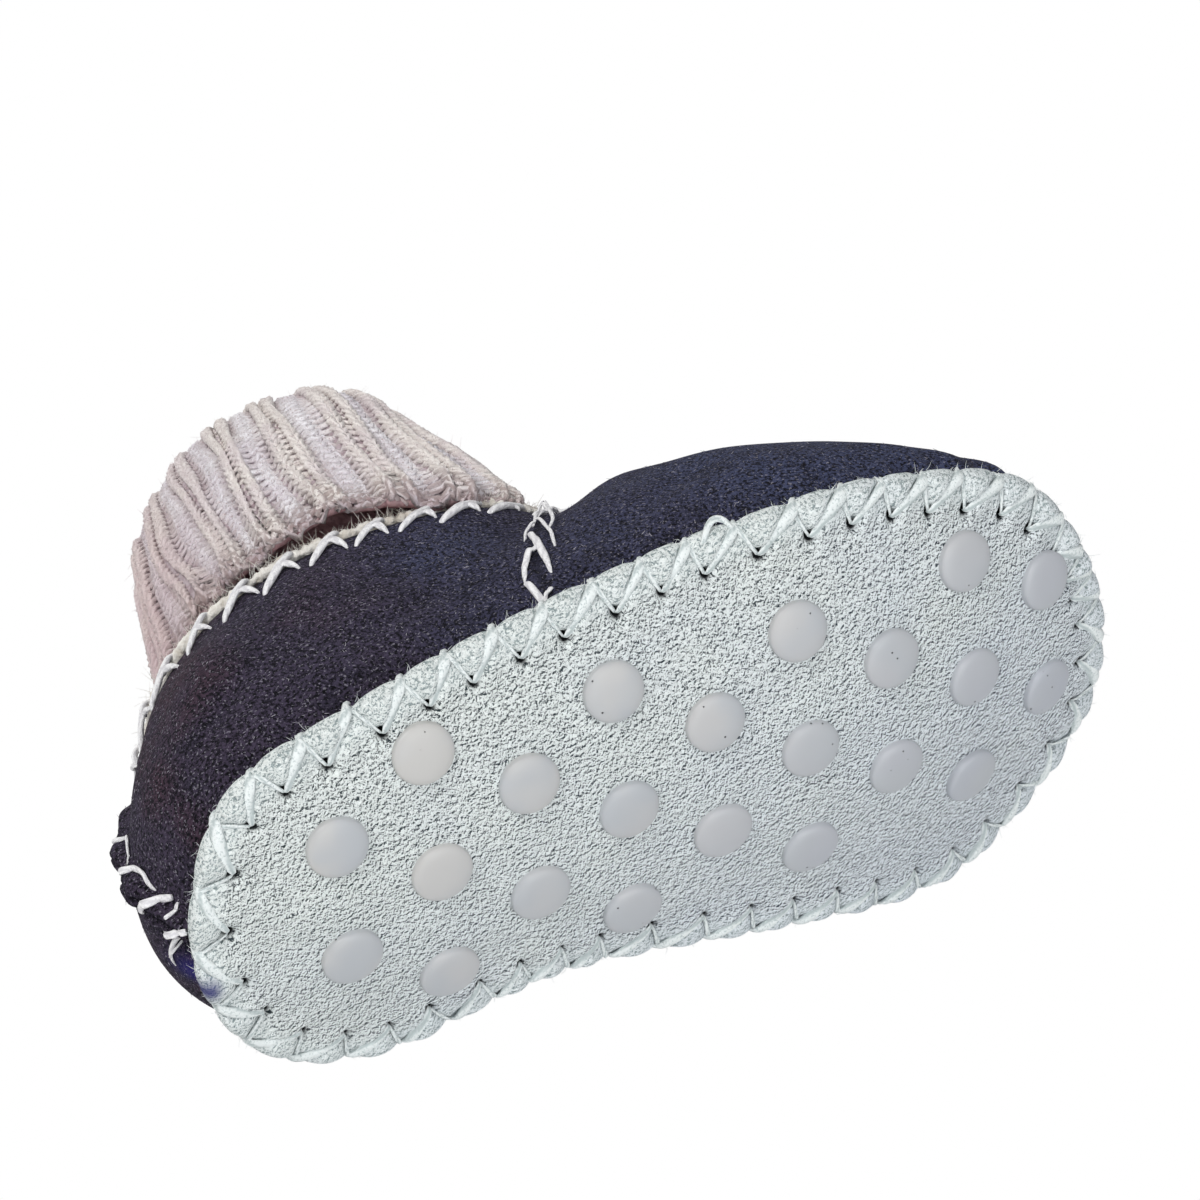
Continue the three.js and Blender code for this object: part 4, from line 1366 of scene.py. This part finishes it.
def fuzz(name, roots, ways, length, radius, bend, finish, values=None):
    """Fine hairs as one piece: each a thin tube from its root along a way, curving off by a bend. Lengths
    and bends are drawn from ranges."""
    count = len(roots)
    length = chance.uniform(*length, (count, 1, 1))
    bend = chance.uniform(*bend, (count, 1, 1))
    share = np.linspace(0, 1, len(HAIR_TAPER))[:, None]
    bent = unit(scattered(count))[:, None] * bend
    paths = roots[:, None] + length * (ways[:, None] * share + bent * share ** 2)
    upward = unit(np.cross(ways, scattered(count)))[:, None]
    upward = np.broadcast_to(upward, paths.shape)
    points, faces, _ = tubes(paths, upward, radius * np.array(HAIR_TAPER), HAIR_SIDES)
    piece(name, points, faces, finish, (), values)


def make_collar_fuzz(count=3200):
    """Wool hairs on the collar's edge, mostly upward and outward."""
    k = k_at(chance.uniform(0, 1, count), COLLAR_LENGTHS)
    edge, normal = collar_edge(k)
    ways = unit(0.8 * wall_up(k) + 0.4 * normal + 0.8 * scattered(count))
    fuzz("collar_fuzz", edge + 0.45 * ways, ways, (0.3, 1.6), 0.036, (0.3, 1.1), FLEECE)


def make_sole_fuzz(count=900):
    """Wool hairs along the sole's edge, where it meets the upper."""
    k = k_at(chance.uniform(0, 1, count))
    plan = sole_edge(k) - edge_out(k) * chance.uniform(0, 0.6, (count, 1))
    roots = on_sole(plan, chance.uniform(0.3, 1.8, count))
    out = np.concatenate([edge_out(k), chance.uniform(-0.3, 0.7, (count, 1))], axis=1)
    ways = unit(0.5 * out + 0.8 * scattered(count))
    fuzz("sole_fuzz", roots, ways, (0.3, 1.0), 0.035, (0.3, 1.0), SOLE_THREAD, {"ply": 1})


def make_knit_fuzz(count=1500):
    """Fine hairs over the knit's outer face and crest."""
    q = chance.uniform(7.0, 11.5, count)
    turn = chance.uniform(0, 2 * np.pi, count)
    normal = cuff_normal(q, turn)
    ways = unit(0.6 * normal + 0.8 * scattered(count))
    roots = cuff_surface(q, turn) - normal * 0.5
    values = {"ply": 1, "purl": 0, "hem": 0, "painted_groove_shade": 0, "near": 0}
    fuzz("knit_fuzz", roots, ways, (0.4, 1.1), 0.028, (0.3, 1.0), KNIT_YARN, values)


def make_nap_fibres(count=2800):
    """Short pale fibres that lie in the upper's nap."""
    k = k_at(chance.uniform(0, 1, count))
    t = chance.uniform(0, 1, count) * below_collar(k, rim_drop(k) + 2.4)
    normal = wall_normal(k, t)
    ways = unit(0.2 * normal + unit(np.cross(normal, scattered(count))))
    roots = on_wall(k, t, np.full(count, -0.03))
    fuzz("nap_fibres", roots, ways, (0.15, 0.6), 0.042, (0.0, 0.5), NAP_FIBRE)


make_sole()
make_dots()
make_upper()
make_lining()
make_insole()
make_backing()
make_knit()
make_sole_stitches()
make_collar()
make_seam_stitches()
make_collar_fuzz()
make_sole_fuzz()
make_knit_fuzz()
make_nap_fibres()


# The floor, the light and the camera.
def make_floor():
    """A plain white floor that shows no shade to the camera and lights the slipper softly from below."""
    mesh = bpy.data.meshes.new("floor")
    corners = [(x * FLOOR_SIZE, y * FLOOR_SIZE, 0) for x, y in ((-1, -1), (1, -1), (1, 1), (-1, 1))]
    mesh.from_pydata(corners, [], [(0, 1, 2, 3)])
    white = Finish("white_floor", 0.5, 0.5)
    rays = {0: white.node("LightPath").outputs["Is Camera Ray"]}
    shaders = {1: white.shader.outputs["BSDF"], 2: white.node("Emission").outputs["Emission"]}
    mix = white.node("MixShader", {**rays, **shaders})
    white.put(white.tree.nodes["Material Output"], {"Surface": mix.outputs["Shader"]})
    mesh.materials.append(white.material)
    floor = bpy.data.objects.new("floor", mesh)
    bpy.context.scene.collection.objects.link(floor)


def put_in_scene(name, data, axes, place):
    """An object with its own axes along three directions, at a place in metres."""
    made = bpy.data.objects.new(name, data)
    turned = np.eye(4)
    turned[:3, :3] = np.transpose(axes)
    turned[:3, 3] = place
    made.matrix_world = Matrix(turned.tolist())
    bpy.context.scene.collection.objects.link(made)
    return made


def make_light(name, place, size, power, colour):
    """A square soft light at a place, in metres, turned to the slipper."""
    lamp = bpy.data.lights.new(name, "AREA")
    lamp.size = size
    lamp.energy = power
    lamp.color = colour
    back = unit(np.array(place) - LIT_POINT)
    right = unit(np.cross((0, 0, 1), back))
    put_in_scene(name, lamp, (right, np.cross(back, right), back), place)


def make_camera():
    """The camera at the photograph's place on the last, laid down with it."""
    lens = bpy.data.cameras.new("camera")
    lens.lens = CAMERA_LENS
    lens.sensor_width = CAMERA_SENSOR
    lens.clip_start = 0.01
    right = unit(np.array(CAMERA_RIGHT))
    up = -unit(np.array(CAMERA_DOWN) - np.dot(CAMERA_DOWN, right) * right)
    axes = [LYING @ way for way in (right, up, np.cross(right, up))]
    bpy.context.scene.camera = put_in_scene("camera", lens, axes, laid(np.array(CAMERA_PLACE)))


def make_world():
    """An even white surround."""
    world = bpy.data.worlds.new("surround")
    world.use_nodes = True
    background = world.node_tree.nodes["Background"]
    background.inputs["Color"].default_value = (1, 1, 1, 1)
    background.inputs["Strength"].default_value = SURROUND
    bpy.context.scene.world = world
    bpy.context.scene.view_settings.view_transform = "Standard"


make_floor()
for light, settings in LIGHTS.items():
    make_light(light, *settings)
make_camera()
make_world()
